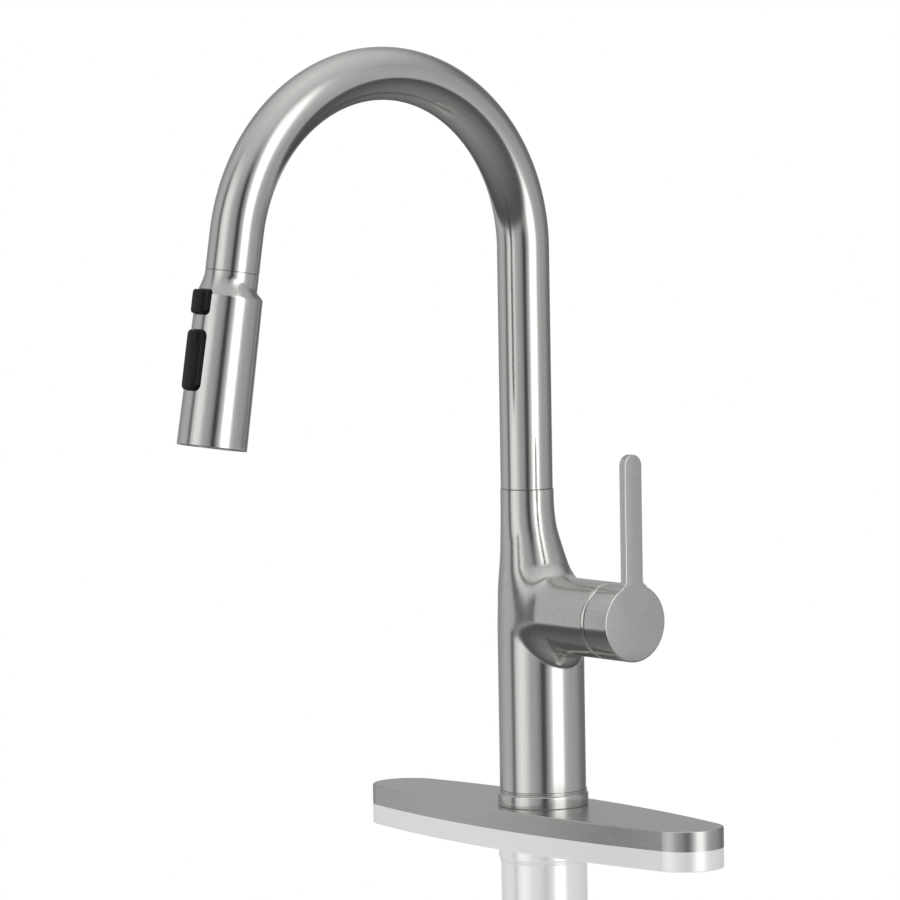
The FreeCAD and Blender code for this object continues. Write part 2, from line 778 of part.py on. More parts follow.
# ---------------------------------------------------------------- valve cartridge
def make_cartridge():
    pivot = pivot_reach
    shell_radius = chamber_radius - fit_gap
    disc_top = pivot - disc_arm + 1
    fixed_low = disc_top - 8
    base_top = fixed_low
    base = cut(
        cylinder(shell_radius - 1, base_top - seat_reach - 1, 0, 0, seat_reach + 1),
        *[
            cylinder(port_radius, base_top - seat_reach, -height, side, seat_reach)
            for side, height in ((tail_side, 3.5), (-tail_side, 3.5), (0, -7.5))
        ],
    )
    keep(valve_frame(base), "cartridge_base")
    seals = [
        torus(port_radius + 1.2, 0.5, -height, side, seat_reach + 0.5)
        for side, height in ((tail_side, 3.5), (-tail_side, 3.5), (0, -7.5))
    ]
    keep(valve_frame(group(*seals)), "cartridge_seals")
    cavity = shell_radius - 2.9
    fixed = cut(
        cylinder(cavity - fit_gap, 4, 0, 0, fixed_low),
        *[
            cylinder(port_radius - 0.4, 5, -height, side, fixed_low - 0.5)
            for side, height in ((tail_side, 3.5), (-tail_side, 3.5), (0, -7.5))
        ],
    )
    keep(valve_frame(fixed), "fixed_disc")
    disc = cut(
        cylinder(10.6, 4 - 0.05, 0, 0, fixed_low + 4 + 0.05),
        cylinder(ball_tip + 0.3, 3, 0, 0, disc_top - 3),
        box(12, 7, 0.8, 0, 0, fixed_low + 4),
        box(24, 2.6, 1.6, 0, 7, disc_top - 1.6),
        box(24, 2.6, 1.6, 0, -7, disc_top - 1.6),
    )
    keep(valve_frame(disc), "moving_disc")
    neck_radius = shell_radius - 4
    neck_top = pivot + 6
    shell_top = disc_top + 5
    holder_radius = neck_radius - 1.5 - shaft_gap
    shell = turned(
        "cartridge_shell_body",
        [
            (shell_radius - 1 + fit_gap, seat_reach + 1),
            (shell_radius, seat_reach + 1),
            (shell_radius, shell_top),
            (neck_radius, shell_top),
            (neck_radius, neck_top),
            (neck_radius - 1.5, neck_top),
            (neck_radius - 1.5, disc_top + 3.2),
            (cavity, disc_top + 3.2),
            (cavity, base_top),
            (shell_radius - 1 + fit_gap, base_top),
        ],
    )
    keep(valve_frame(shell), "cartridge_shell")
    holder_low = disc_top + 0.3
    holder = cut(
        fused(
            cylinder(holder_radius, neck_top - 0.6 - holder_low, 0, 0, holder_low),
            box(14, 2, 1.4, 0, 7, holder_low - 1.4),
            box(14, 2, 1.4, 0, -7, holder_low - 1.4),
        ),
        box(30, stem_side + 2 * move_gap, 30, 0, 0, holder_low - 0.01),
        cylinder(1.5, 40, 0, -20, pivot, Vector(1, 0, 0), -90),
    )
    tie = cut(
        cylinder(holder_radius, 1.2, 0, 0, holder_low),
        cylinder(6.4, 2, 0, 0, holder_low - 0.4),
    )
    keep(valve_frame(fused(holder, tie)), "stem_carrier")
    pin_length = 2 * holder_radius - 2.4
    pin = cylinder(1.5, pin_length, 0, -pin_length / 2, pivot, Vector(1, 0, 0), -90)
    keep(valve_frame(group(pin)), "stem_pin")
    stem_tip = handle_reach - 2.4
    stem_low = pivot - 3.6
    stem = cut(
        fused(
            box(stem_side, stem_side, stem_tip - stem_low, 0, 0, stem_low),
            cylinder(ball_tip - 0.6, disc_arm - 3, 0, 0, pivot - disc_arm),
            ball(ball_tip, 0, 0, pivot - disc_arm),
        ),
        cylinder(1.5 + shaft_gap, 40, 0, -20, pivot, Vector(1, 0, 0), -90),
    )
    keep(valve_frame(stem), "cartridge_stem")
    nut_inner = neck_radius + fit_gap
    nut = turned(
        "cartridge_nut_body", tube_outline(nut_inner, chamber_radius - fit_gap, shell_top, 6.5)
    )
    keep(valve_frame(nut), "cartridge_nut")
    skirt = chamber_radius - fit_gap
    rim_height = (dome_radius * dome_radius - skirt * skirt).root()
    mouth = 15.6
    wall = 1.1
    inner_radius = dome_radius - wall
    dome = turned(
        "dome_body",
        [
            (skirt - wall, shell_top + 6.5),
            (skirt, shell_top + 6.5),
            (skirt, pivot + rim_height),
            (mouth, pivot + (dome_radius * dome_radius - mouth * mouth).root(), dome_radius),
            (mouth, pivot + (inner_radius * inner_radius - mouth * mouth).root()),
            (
                skirt - wall,
                pivot + (inner_radius * inner_radius - (skirt - wall) * (skirt - wall)).root(),
                -inner_radius,
            ),
        ],
    )
    keep(valve_frame(dome), "dome_cover")


# ---------------------------------------------------------------- lever handle
def make_handle():
    rim = housing_end + hub_gap
    hub = cylinder(housing_radius, handle_reach - rim, 0, 0, rim)
    half = blade_width / 2
    straight = blade_top - half
    blade = extruded(
        "lever_blade",
        [[(-half, 0), (half, 0), (half, straight), (0, blade_top, half), (-half, straight, half)]],
        blade_thickness,
    )
    place(blade, 0, 0, handle_reach - blade_thickness, Vector(0, 0, 1), 90)
    socket = stem_side + 2 * fit_gap
    screw_z = handle_reach - 2.4 - 2.6
    handle = cut(
        fused(hub, blade),
        ball(hub_cavity, 0, 0, pivot_reach),
        box(socket, socket, handle_reach - 2.4 - pivot_reach, 0, 0, pivot_reach),
        cylinder(screw_radius, housing_radius, 0, 0, screw_z, Vector(0, 1, 0), 90),
    )
    keep(valve_frame(handle), "lever_handle")
    stem_face = stem_side / 2
    screw = cut(
        cylinder(screw_radius, 8, stem_face, 0, screw_z, Vector(0, 1, 0), 90),
        cylinder(1, 3, stem_face + 5, 0, screw_z, Vector(0, 1, 0), 90),
    )
    keep(valve_frame(screw), "handle_screw")
    plug = cylinder(screw_radius, 3, housing_radius - 3.2, 0, screw_z, Vector(0, 1, 0), 90)
    keep(valve_frame(group(plug)), "screw_plug")


# ---------------------------------------------------------------- spray head
def shell_radius_at(drop):
    """Outer radius of the grip at a distance below the seam."""
    share = (drop - shoulder_drop) / (head_length - shoulder_drop)
    return head_top_radius + (head_face_radius - head_top_radius) * share


def head_outer_shape():
    """Neck that flares forward into a slanted shoulder, then a slightly widening grip."""
    neck = tube_radius.value
    grip = head_top_radius.value
    drop = shoulder_drop.value
    sections = []
    for share, radius, forward in (
        (0, neck, 0),
        (0.3, neck + 0.25 * (grip - neck) * 0.6, 0.45),
        (0.62, neck + 0.4 * (grip - neck), 1.2),
        (0.86, neck + 0.78 * (grip - neck), 0.7),
        (1, grip, 0),
    ):
        centre = Vector(0, -forward, -drop * share)
        sections.append(Part.Wire([Part.makeCircle(radius, centre, Vector(0, 0, -1))]))
    shoulder = Part.makeLoft(sections, True, False)
    grip_cone = Part.makeCone(
        grip, head_face_radius.value, head_length.value - drop, Vector(0, 0, -drop), Vector(0, 0, -1)
    )
    return shoulder.fuse(grip_cone)


def button_block(label, drop, length, gap, deep, proud, corner):
    """A rounded prism through the front wall of the head, from deep inside to proud of it."""
    x = button_width / 2 + gap
    z = length / 2 + gap
    r = Size.of(corner) + gap
    outline = [
        (x, z - r),
        (x - r, z, r),
        (r - x, z),
        (-x, z - r, r),
        (-x, r - z),
        (r - x, -z, r),
        (x - r, -z),
        (x, r - z, r),
    ]
    block = extruded(label, [outline], proud - deep, "XZ_Plane")
    return place(block, 0, -Size.of(deep), -drop)


def make_head():
    inner_top = head_top_radius - head_wall
    inner_face = head_face_radius - head_wall
    hollow = turned(
        "head_hollow",
        [
            (0, -head_length - 1),
            (inner_face, -head_length - 1),
            (inner_face, -head_length),
            (inner_top, -shoulder_drop - 1),
            (tube_radius - 3, -6),
            (dock_radius + fit_gap, -6),
            (dock_radius + fit_gap, 1),
            (0, 1),
        ],
    )
    outer = doc.addObject("Part::Feature", "HeadOuter")
    outer.Shape = head_outer_shape()
    reach = head_face_radius + 6
    pause_hole = button_block("pause_window", pause_drop, pause_length, button_gap, 11, reach, 2.2)
    rocker_hole = button_block("rocker_window", rocker_drop, rocker_length, button_gap, 11, reach, 3)
    keep(head_frame(cut(outer, hollow, pause_hole, rocker_hole)), "head_shell")

    socket_gap = 0.08
    ball_height = 1.5
    cap_low = dock_depth - 3.5
    core_top = -14
    stem_radius = 3.4
    inlet = cut(
        cylinder(dock_radius, cap_low - core_top, 0, 0, core_top),
        ball(ball_radius + socket_gap, 0, 0, ball_height),
        cylinder(ball_radius + socket_gap, cap_low - ball_height, 0, 0, ball_height),
        cylinder(stem_radius, -core_top, 0, 0, core_top),
    )
    keep(head_frame(inlet), "head_inlet")
    cap = cut(
        cylinder(dock_radius, 3.5, 0, 0, cap_low),
        ball(ball_radius + socket_gap, 0, 0, ball_height),
        cylinder(stem_radius + 1, dock_depth, 0, 0, ball_height),
    )
    keep(head_frame(cap), "swivel_cap")
    swivel = cut(
        fused(
            ball(ball_radius, 0, 0, ball_height),
            cylinder(stem_radius, ferrule_rise - 3 - ball_height, 0, 0, ball_height),
        ),
        cylinder(2.2, 60, 0, 0, -20),
    )
    keep(head_frame(swivel), "hose_swivel")
    ferrule_low = ferrule_rise - ferrule_length
    ferrule = turned(
        "ferrule_body",
        [
            (stem_radius + fit_gap, ferrule_low),
            (ferrule_radius - 0.6, ferrule_low),
            (ferrule_radius, ferrule_low + 0.6),
            (ferrule_radius, ferrule_rise),
            (stem_radius + fit_gap, ferrule_rise),
        ],
    )
    keep(head_frame(ferrule), "hose_ferrule")
    make_head_core(core_top)
    make_spray_face()
    make_buttons()


def make_head_core(core_top):
    """The water way inside the grip, with its check valve and diverter."""
    bore = 5
    chamber = inner_shell(face_back()) - 2
    mouth = inner_shell(face_back()) - 0.5
    core_low = -face_back()
    core = turned(
        "core_body",
        [
            (bore, core_top),
            (core_radius, core_top),
            (core_radius, core_low + 17),
            (mouth, core_low + 7),
            (mouth, core_low),
            (chamber, core_low),
            (chamber, core_low + 6),
            (bore, core_low + 16),
        ],
    )
    lugs = [
        box(2.4, 5, 6, side * 3.7, -(core_radius + 0.9), -rocker_drop - 3) for side in (-1, 1)
    ]
    pin_y = -(core_radius + 2)
    plunger_bore = plunger_radius + shaft_gap
    finished = cut(
        fused(core, *lugs),
        cylinder(plunger_bore, core_radius, 0, -core_radius - 1, -pause_drop, Vector(1, 0, 0), -90),
        cylinder(rocker_pin, 20, -10, pin_y, -rocker_drop, Vector(0, 1, 0), 90),
    )
    keep(head_frame(finished), "waterway_core")
    pin = cylinder(rocker_pin, 9.6, -4.8, pin_y, -rocker_drop, Vector(0, 1, 0), 90)
    keep(head_frame(group(pin)), "rocker_pin")
    valve = turned(
        "check_valve_body",
        [
            (2, -36),
            (bore - fit_gap, -36),
            (bore - fit_gap, -26),
            (bore - 1, -25),
            (2, -25),
        ],
    )
    keep(head_frame(valve), "check_valve")
    diverter = turned(
        "diverter_body",
        [
            (1.6, -62),
            (bore - fit_gap, -62),
            (bore - fit_gap, -58),
            (bore - 1.5, -57),
            (bore - 1.5, -50),
            (bore - fit_gap, -49),
            (bore - fit_gap, -44),
            (1.6, -44),
        ],
    )
    keep(head_frame(diverter), "diverter_valve")


def inner_shell(drop):
    """Inner radius of the grip at a distance below the seam."""
    share = (drop - shoulder_drop) / (head_length - shoulder_drop)
    return head_top_radius - head_wall + (head_face_radius - head_top_radius) * share


def face_back():
    """Distance from the seam to the back of the nozzle mat."""
    return head_length - face_inset - 5 - 1.8


def make_spray_face():
    face_low = -(head_length - face_inset)
    face_radius = inner_shell(head_length - face_inset - 5) - fit_gap
    holes = []
    nubs = []
    for ring_distance, count in ((10.6, 12), (13.8, 18)):
        for index in range(count):
            angle = 2 * math.pi * (index + 0.5) / count
            x = ring_distance * math.cos(angle)
            y = ring_distance * math.sin(angle)
            holes.append(cylinder(nozzle_radius + fit_gap, 6, x, y, face_low - 0.5))
            nubs.append(cylinder(nozzle_radius, 6, x, y, face_low - 0.7))
    face = cut(
        cylinder(face_radius, 5, 0, 0, face_low),
        cylinder(aerator_radius + fit_gap, 6, 0, 0, face_low - 0.5),
        *holes,
    )
    keep(head_frame(face), "spray_face")
    mat = cut(
        fused(cylinder(face_radius - 0.4, 1.8, 0, 0, face_low + 5), *nubs),
        cylinder(aerator_radius + fit_gap, 6, 0, 0, face_low + 1),
    )
    keep(head_frame(mat), "nozzle_mat")
    aerator = turned(
        "aerator_body",
        [
            (0, face_low + 0.6),
            (aerator_radius - 1, face_low + 0.6),
            (aerator_radius - 0.6, face_low - 0.4),
            (aerator_radius, face_low - 0.4),
            (aerator_radius, face_low + 8),
            (0, face_low + 8),
        ],
    )
    keep(head_frame(aerator), "aerator")


def make_buttons():
    """Pause button with its plunger and spring, and the rocker that picks spray or stream."""
    pause_face = shell_radius_at(pause_drop) + button_proud
    pause_back = core_radius + 5.1
    block = button_block("pause_cap", pause_drop, pause_length, Size.of(0), pause_back, pause_face, 2.2)
    stem = cylinder(plunger_radius, pause_back - 4, 0, -pause_back, -pause_drop, Vector(1, 0, 0), -90)
    keep(head_frame(fused(block, stem)), "pause_button")
    spring = doc.addObject("Part::Feature", "Spring")
    turns = 3
    start = (dock_radius + 2 * spring_wire).value
    reach = (pause_back - pause_travel - 2 * spring_wire).value - start
    coil_radius = (plunger_radius + spring_wire + 0.1).value
    helix = Part.makeHelix(reach / turns, reach, coil_radius)
    section = Part.Wire([Part.makeCircle(spring_wire.value, Vector(coil_radius, 0, 0), Vector(0, 1, 0))])
    spring.Shape = Part.Wire(helix).makePipeShell([section], True, True)
    place(spring, 0, -start, 0, Vector(1, 0, 0), 90)
    spring.setExpression("Placement.Base.z", (-pause_drop).formula)
    keep(head_frame(group(spring)), "pause_spring")
    rocker_face = shell_radius_at(rocker_drop) + button_proud
    rocker_back = core_radius + 3.9
    rocker_block = button_block(
        "rocker_cap", rocker_drop, rocker_length, Size.of(0), rocker_back, rocker_face, 3
    )
    pin_y = -(core_radius + 2)
    lug_middle = -(core_radius + rocker_back) / 2 - 0.4
    lug = box(4.2, rocker_back - core_radius, 5.6, 0, lug_middle, -rocker_drop - 2.8)
    rocker = cut(
        fused(rocker_block, lug),
        cylinder(rocker_pin + shaft_gap, 20, -10, pin_y, -rocker_drop, Vector(0, 1, 0), 90),
    )
    keep(head_frame(rocker), "mode_rocker")


# ---------------------------------------------------------------- build, check and write
make_deck_plate()
make_plate_liner()
make_base()
make_tails()
make_body()
make_spout()
make_lower_hose()
make_cartridge()
make_handle()
make_head()
doc.recompute()

failed = [obj.Label for obj in doc.Objects if "Invalid" in obj.State or "Error" in obj.State]
if failed:
    raise RuntimeError(f"these did not recompute: {failed}")
for obj in node_objects:
    shape = obj.Shape
    if shape.isNull() or not shape.isValid():
        raise RuntimeError(f"{obj.Label} has no valid shape")

os.makedirs("parts", exist_ok=True)
for obj in node_objects:
    obj.Shape.exportStep(f"parts/{obj.Label}.step")
    print(obj.Label, len(obj.Shape.Solids), round(obj.Shape.Volume, 1))
print(len(node_objects), "nodes")
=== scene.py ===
import json
import math

import bmesh
import bpy
import numpy as np
from mathutils import Matrix, Vector


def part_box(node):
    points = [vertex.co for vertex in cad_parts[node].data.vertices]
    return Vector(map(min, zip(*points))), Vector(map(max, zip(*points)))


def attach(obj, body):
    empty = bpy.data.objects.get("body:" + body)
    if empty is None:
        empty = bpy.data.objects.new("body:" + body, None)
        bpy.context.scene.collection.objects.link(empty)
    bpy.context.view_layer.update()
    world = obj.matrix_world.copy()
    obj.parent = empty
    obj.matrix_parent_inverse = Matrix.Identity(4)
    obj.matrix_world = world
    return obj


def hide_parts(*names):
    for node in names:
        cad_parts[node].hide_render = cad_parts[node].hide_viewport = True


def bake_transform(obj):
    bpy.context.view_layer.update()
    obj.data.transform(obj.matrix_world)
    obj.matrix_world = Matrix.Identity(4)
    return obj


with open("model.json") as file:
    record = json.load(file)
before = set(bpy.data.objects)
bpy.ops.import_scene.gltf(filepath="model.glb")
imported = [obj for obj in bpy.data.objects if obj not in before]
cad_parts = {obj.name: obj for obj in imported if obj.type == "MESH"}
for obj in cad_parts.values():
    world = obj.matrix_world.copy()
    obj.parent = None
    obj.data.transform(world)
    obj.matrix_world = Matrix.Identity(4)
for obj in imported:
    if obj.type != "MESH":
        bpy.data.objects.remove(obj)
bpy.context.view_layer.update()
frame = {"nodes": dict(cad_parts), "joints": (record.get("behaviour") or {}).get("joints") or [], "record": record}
joints = {joint["name"]: joint for joint in frame["joints"]}
MM = 0.001
ON_AXIS = 0.001 * MM

# ------------------------------------------------------------- places, worked out from the frame
RISER_X = joints["spout_swivel"]["pos_m"][0]
SPOUT_FOOT = joints["spout_swivel"]["pos_m"][2]
SEAM = Vector(joints["head_turn"]["pos_m"])
HEAD_UP = Vector(joints["head_turn"]["axis"]).normalized()
PIVOT = Vector(joints["flow"]["pos_m"])
TUBE_LOW, TUBE_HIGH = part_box("spout_tube")
TUBE_RADIUS = (TUBE_HIGH.x - TUBE_LOW.x) / 2
BODY_LOW, BODY_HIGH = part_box("faucet_body")
RING_LOW, RING_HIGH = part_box("base_ring")
COLUMN_RADIUS = BODY_HIGH.y
LEVER_LOW, LEVER_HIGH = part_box("lever_handle")
HUB_RADIUS = LEVER_HIGH.y
TILT = math.atan2(HEAD_UP.y, HEAD_UP.z)


def gooseneck_sizes():
    """Arch radius, arch centre height and straight end, from the tube's top and the seam's place."""
    top = TUBE_HIGH.z - TUBE_RADIUS
    sine, cosine = math.sin(TILT), math.cos(TILT)
    rows = np.array([[1 + cosine, sine], [1 - sine, cosine]])
    radius, straight = np.linalg.solve(rows, np.array([-SEAM.y, top - SEAM.z]))
    return float(radius), float(top - radius), float(straight)


ARCH_RADIUS, ARCH_Z, STRAIGHT_END = gooseneck_sizes()
HEAD_FRAME = Matrix.Translation(SEAM) @ Matrix.Rotation(-TILT, 4, "X")
LEVER_FRAME = Matrix.Translation((0, 0, PIVOT.z)) @ Matrix.Rotation(math.pi / 2, 4, "Y")


# ------------------------------------------------------------- camera
CAMERA_AZIMUTH = math.radians(51.66)
CAMERA_ELEVATION = math.radians(4.76)
CAMERA_ROLL = math.radians(-0.951)
CAMERA_DISTANCE = 3.3278
CAMERA_LENS = 244.0
CAMERA_TARGET = Vector((-0.0759, 0, 0.1978))


def make_camera():
    camera = bpy.data.objects.new("camera", bpy.data.cameras.new("camera"))
    bpy.context.scene.collection.objects.link(camera)
    sa, ca = math.sin(CAMERA_AZIMUTH), math.cos(CAMERA_AZIMUTH)
    se, ce = math.sin(CAMERA_ELEVATION), math.cos(CAMERA_ELEVATION)
    back = Vector((sa * ce, -ca * ce, se))
    right = Vector((ca, sa, 0))
    up = Vector((-sa * se, ca * se, ce))
    turn = Matrix((right, up, back)).transposed() @ Matrix.Rotation(CAMERA_ROLL, 3, "Z")
    camera.matrix_world = Matrix.Translation(CAMERA_TARGET + back * CAMERA_DISTANCE) @ turn.to_4x4()
    camera.data.lens = CAMERA_LENS
    camera.data.sensor_width = 36
    camera.data.clip_start = 0.1
    camera.data.clip_end = 50
    bpy.context.scene.camera = camera


# ------------------------------------------------------------- node helpers
class Nodes:
    """Adds and links shader nodes in one tree."""

    def __init__(self, tree):
        self.tree = tree

    def add(self, kind, **values):
        node = self.tree.nodes.new(kind)
        for name, value in values.items():
            setattr(node, name, value)
        return node

    def link(self, source, target):
        self.tree.links.new(source, target)

    def math(self, operation, first, second=None):
        node = self.add("ShaderNodeMath", operation=operation)
        for socket, value in zip(node.inputs, (first, second)):
            if isinstance(value, bpy.types.NodeSocket):
                self.link(value, socket)
            elif value is not None:
                socket.default_value = value
        return node.outputs[0]

    def ramp(self, factor, stops):
        node = self.add("ShaderNodeValToRGB")
        elements = node.color_ramp.elements
        elements.remove(elements[1])
        elements[0].position = stops[0][0]
        elements[0].color = (*stops[0][1], 1)
        for position, shade in stops[1:]:
            elements.new(position).color = (*shade, 1)
        self.link(factor, node.inputs["Fac"])
        return node.outputs["Color"]


def grey(value):
    return (value, value, value)


# ------------------------------------------------------------- studio
# Light seen by the metal, by its bearing from the camera's side of the object: 0 is behind the
# camera, 90 is to its right. Strip boxes stand at the bright bearings, dark flags at the dark ones.
STUDIO_RING = [
    (-180, 0.40),
    (-150, 0.30),
    (-112, 0.55),
    (-92, 0.50),
    (-87, 0.16),
    (-80, 0.16),
    (-74, 0.72),
    (-60, 1.05),
    (-46, 0.95),
    (-32, 0.52),
    (-14, 0.40),
    (-5, 0.26),
    (-1, 0.06),
    (8, 0.06),
    (15, 0.40),
    (24, 0.70),
    (32, 1.95),
    (52, 1.95),
    (62, 0.62),
    (80, 0.46),
    (104, 0.40),
    (124, 0.22),
    (150, 0.16),
    (180, 0.40),
]
STUDIO_SCALE = 2.0
STUDIO_STRENGTH = 2.35
STUDIO_HEIGHT = [
    (-90, 0.17, 1.0),
    (-45, 0.10, 1.0),
    (-22, 0.05, 1.0),
    (-16, 0.05, 1.0),
    (-10, 0.5, 0.0),
    (28, 0.3, 0.0),
    (50, 0.30, 1.0),
    (90, 0.42, 1.0),
]


def make_studio():
    world = bpy.data.worlds.new("studio")
    bpy.context.scene.world = world
    world.use_nodes = True
    tree = Nodes(world.node_tree)
    world.node_tree.nodes.clear()
    direction = tree.add("ShaderNodeTexCoord").outputs["Generated"]
    turn = tree.add("ShaderNodeVectorRotate", rotation_type="Z_AXIS")
    turn.inputs["Angle"].default_value = math.pi / 2 - CAMERA_AZIMUTH
    tree.link(direction, turn.inputs["Vector"])
    split = tree.add("ShaderNodeSeparateXYZ")
    tree.link(turn.outputs["Vector"], split.inputs[0])
    across, towards, up = split.outputs["Y"], split.outputs["X"], split.outputs["Z"]
    bearing = tree.math("ARCTAN2", across, towards)
    share = tree.math("MULTIPLY_ADD", bearing, 1 / (2 * math.pi))
    share.node.inputs[2].default_value = 0.5
    ring = tree.ramp(share, [((a + 180) / 360, grey(v / STUDIO_SCALE)) for a, v in STUDIO_RING])
    height = tree.math("ARCSINE", up)
    rise = tree.math("MULTIPLY_ADD", height, 1 / math.pi)
    rise.node.inputs[2].default_value = 0.5
    cover = tree.ramp(rise, [((a + 90) / 180, grey(v)) for a, v, _ in STUDIO_HEIGHT])
    share_of_cover = tree.ramp(rise, [((a + 90) / 180, grey(m)) for a, _, m in STUDIO_HEIGHT])
    mix = tree.add("ShaderNodeMix", data_type="RGBA")
    tree.link(share_of_cover, mix.inputs["Factor"])
    tree.link(ring, mix.inputs["A"])
    tree.link(cover, mix.inputs["B"])
    metal_light = tree.add("ShaderNodeBackground")
    metal_light.inputs["Strength"].default_value = STUDIO_STRENGTH
    tree.link(mix.outputs["Result"], metal_light.inputs["Color"])
    white = tree.add("ShaderNodeBackground")
    white.inputs["Color"].default_value = (1, 1, 1, 1)
    path = tree.add("ShaderNodeLightPath")
    plain = tree.math("MAXIMUM", path.outputs["Is Camera Ray"], path.outputs["Is Singular Ray"])
    seen = tree.add("ShaderNodeMixShader")
    tree.link(plain, seen.inputs["Fac"])
    tree.link(metal_light.outputs[0], seen.inputs[1])
    tree.link(white.outputs[0], seen.inputs[2])
    tree.link(seen.outputs[0], tree.add("ShaderNodeOutputWorld").inputs["Surface"])
    bpy.context.scene.view_settings.view_transform = "Standard"


FLOOR_HALF = 2.2
FLOOR_MIRROR = 0.48
SINK_LOW = Vector((-0.16, -0.60))
SINK_HIGH = Vector((0.10, -0.165))


def make_floor():
    """A white counter, with an opening over the sink where the spray head is pulled down."""
    xs = (-FLOOR_HALF, SINK_LOW.x, SINK_HIGH.x, FLOOR_HALF)
    ys = (-FLOOR_HALF, SINK_LOW.y, SINK_HIGH.y, FLOOR_HALF)
    corners = [(x, y, 0) for y in ys for x in xs]
    cells = [(row, column) for row in range(3) for column in range(3) if (row, column) != (1, 1)]
    faces = [
        (row * 4 + column, row * 4 + column + 1, row * 4 + column + 5, row * 4 + column + 4)
        for row, column in cells
    ]
    floor = mesh_object("counter", corners, faces, smooth=False)
    material = bpy.data.materials.new("counter_white")
    material.use_nodes = True
    tree = Nodes(material.node_tree)
    material.node_tree.nodes.clear()
    surface = tree.add("ShaderNodeMixShader")
    surface.inputs["Fac"].default_value = FLOOR_MIRROR
    sheen = tree.add("ShaderNodeBsdfGlossy")
    sheen.inputs["Roughness"].default_value = 0
    sheen.inputs["Color"].default_value = (1, 1, 1, 1)
    glow = tree.add("ShaderNodeEmission")
    glow.inputs["Color"].default_value = (1, 1, 1, 1)
    tree.link(glow.outputs[0], surface.inputs[1])
    tree.link(sheen.outputs[0], surface.inputs[2])
    tree.link(surface.outputs[0], tree.add("ShaderNodeOutputMaterial").inputs["Surface"])
    floor.data.materials.append(material)
    floor.visible_glossy = False


# ------------------------------------------------------------- mesh helpers
def mesh_object(name, points, faces, smooth=True):
    mesh = bpy.data.meshes.new(name)
    mesh.from_pydata([tuple(p) for p in points], [], faces)
    mesh.validate()
    mesh.polygons.foreach_set("use_smooth", [smooth] * len(mesh.polygons))
    mesh.update()
    piece = bpy.data.objects.new(name, mesh)
    bpy.context.scene.collection.objects.link(piece)
    return piece


def rounded(corners, steps=6):
    """A closed outline from (x, y, radius) corners, each rounded by an arc of its radius."""
    outline = []
    count = len(corners)
    for index in range(count):
        x, y, radius = corners[index]
        here = Vector((x, y))
        before = Vector(corners[index - 1][:2]) - here
        after = Vector(corners[(index + 1) % count][:2]) - here
        if radius <= 0:
            outline.append(here)
            continue
        half = before.angle(after) / 2
        reach = radius / math.tan(half)
        start = here + before.normalized() * reach
        end = here + after.normalized() * reach
        bisector = (before.normalized() + after.normalized()).normalized()
        centre = here + bisector * (radius / math.sin(half))
        spoke = start - centre
        sweep = math.atan2(spoke.cross(end - centre), spoke.dot(end - centre))
        for step in range(steps + 1):
            outline.append(centre + Matrix.Rotation(sweep * step / steps, 2) @ spoke)
    return outline


def lathe(name, outline, place=Matrix.Identity(4), segments=128):
    """A closed (radius, height) outline turned about the local Z axis."""
    points, faces = [], []
    count = len(outline)
    for step in range(segments):
        angle = 2 * math.pi * step / segments
        for radius, height in outline:
            points.append(place @ Vector((radius * math.cos(angle), radius * math.sin(angle), height)))
    for step in range(segments):
        here, there = step * count, (step + 1) % segments * count
        for index in range(count):
            after = (index + 1) % count
            faces.append((here + index, there + index, there + after, here + after))
    piece = mesh_object(name, points, faces)
    return tidy(piece)


def tidy(piece, crease=35):
    """Merge doubled points, face all faces outwards and keep edges sharper than crease degrees."""
    shape = bmesh.new()
    shape.from_mesh(piece.data)
    bmesh.ops.remove_doubles(shape, verts=shape.verts, dist=1e-7)
    bmesh.ops.dissolve_degenerate(shape, dist=1e-7, edges=shape.edges)
    bmesh.ops.recalc_face_normals(shape, faces=shape.faces)
    for edge in shape.edges:
        edge.smooth = edge.calc_face_angle(0) < math.radians(crease)
    shape.to_mesh(piece.data)
    shape.free()
    return piece


def finish_piece(piece, material, body, slot, *nodes):
    """Dress a new piece, hang it on its body and let it stand for its CAD nodes."""
    piece.data.materials.clear()
    piece.data.materials.append(material)
    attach(piece, body)
    if nodes:
        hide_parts(*nodes)


# ------------------------------------------------------------- materials
GRAIN_RELIEF = 0.2 * MM


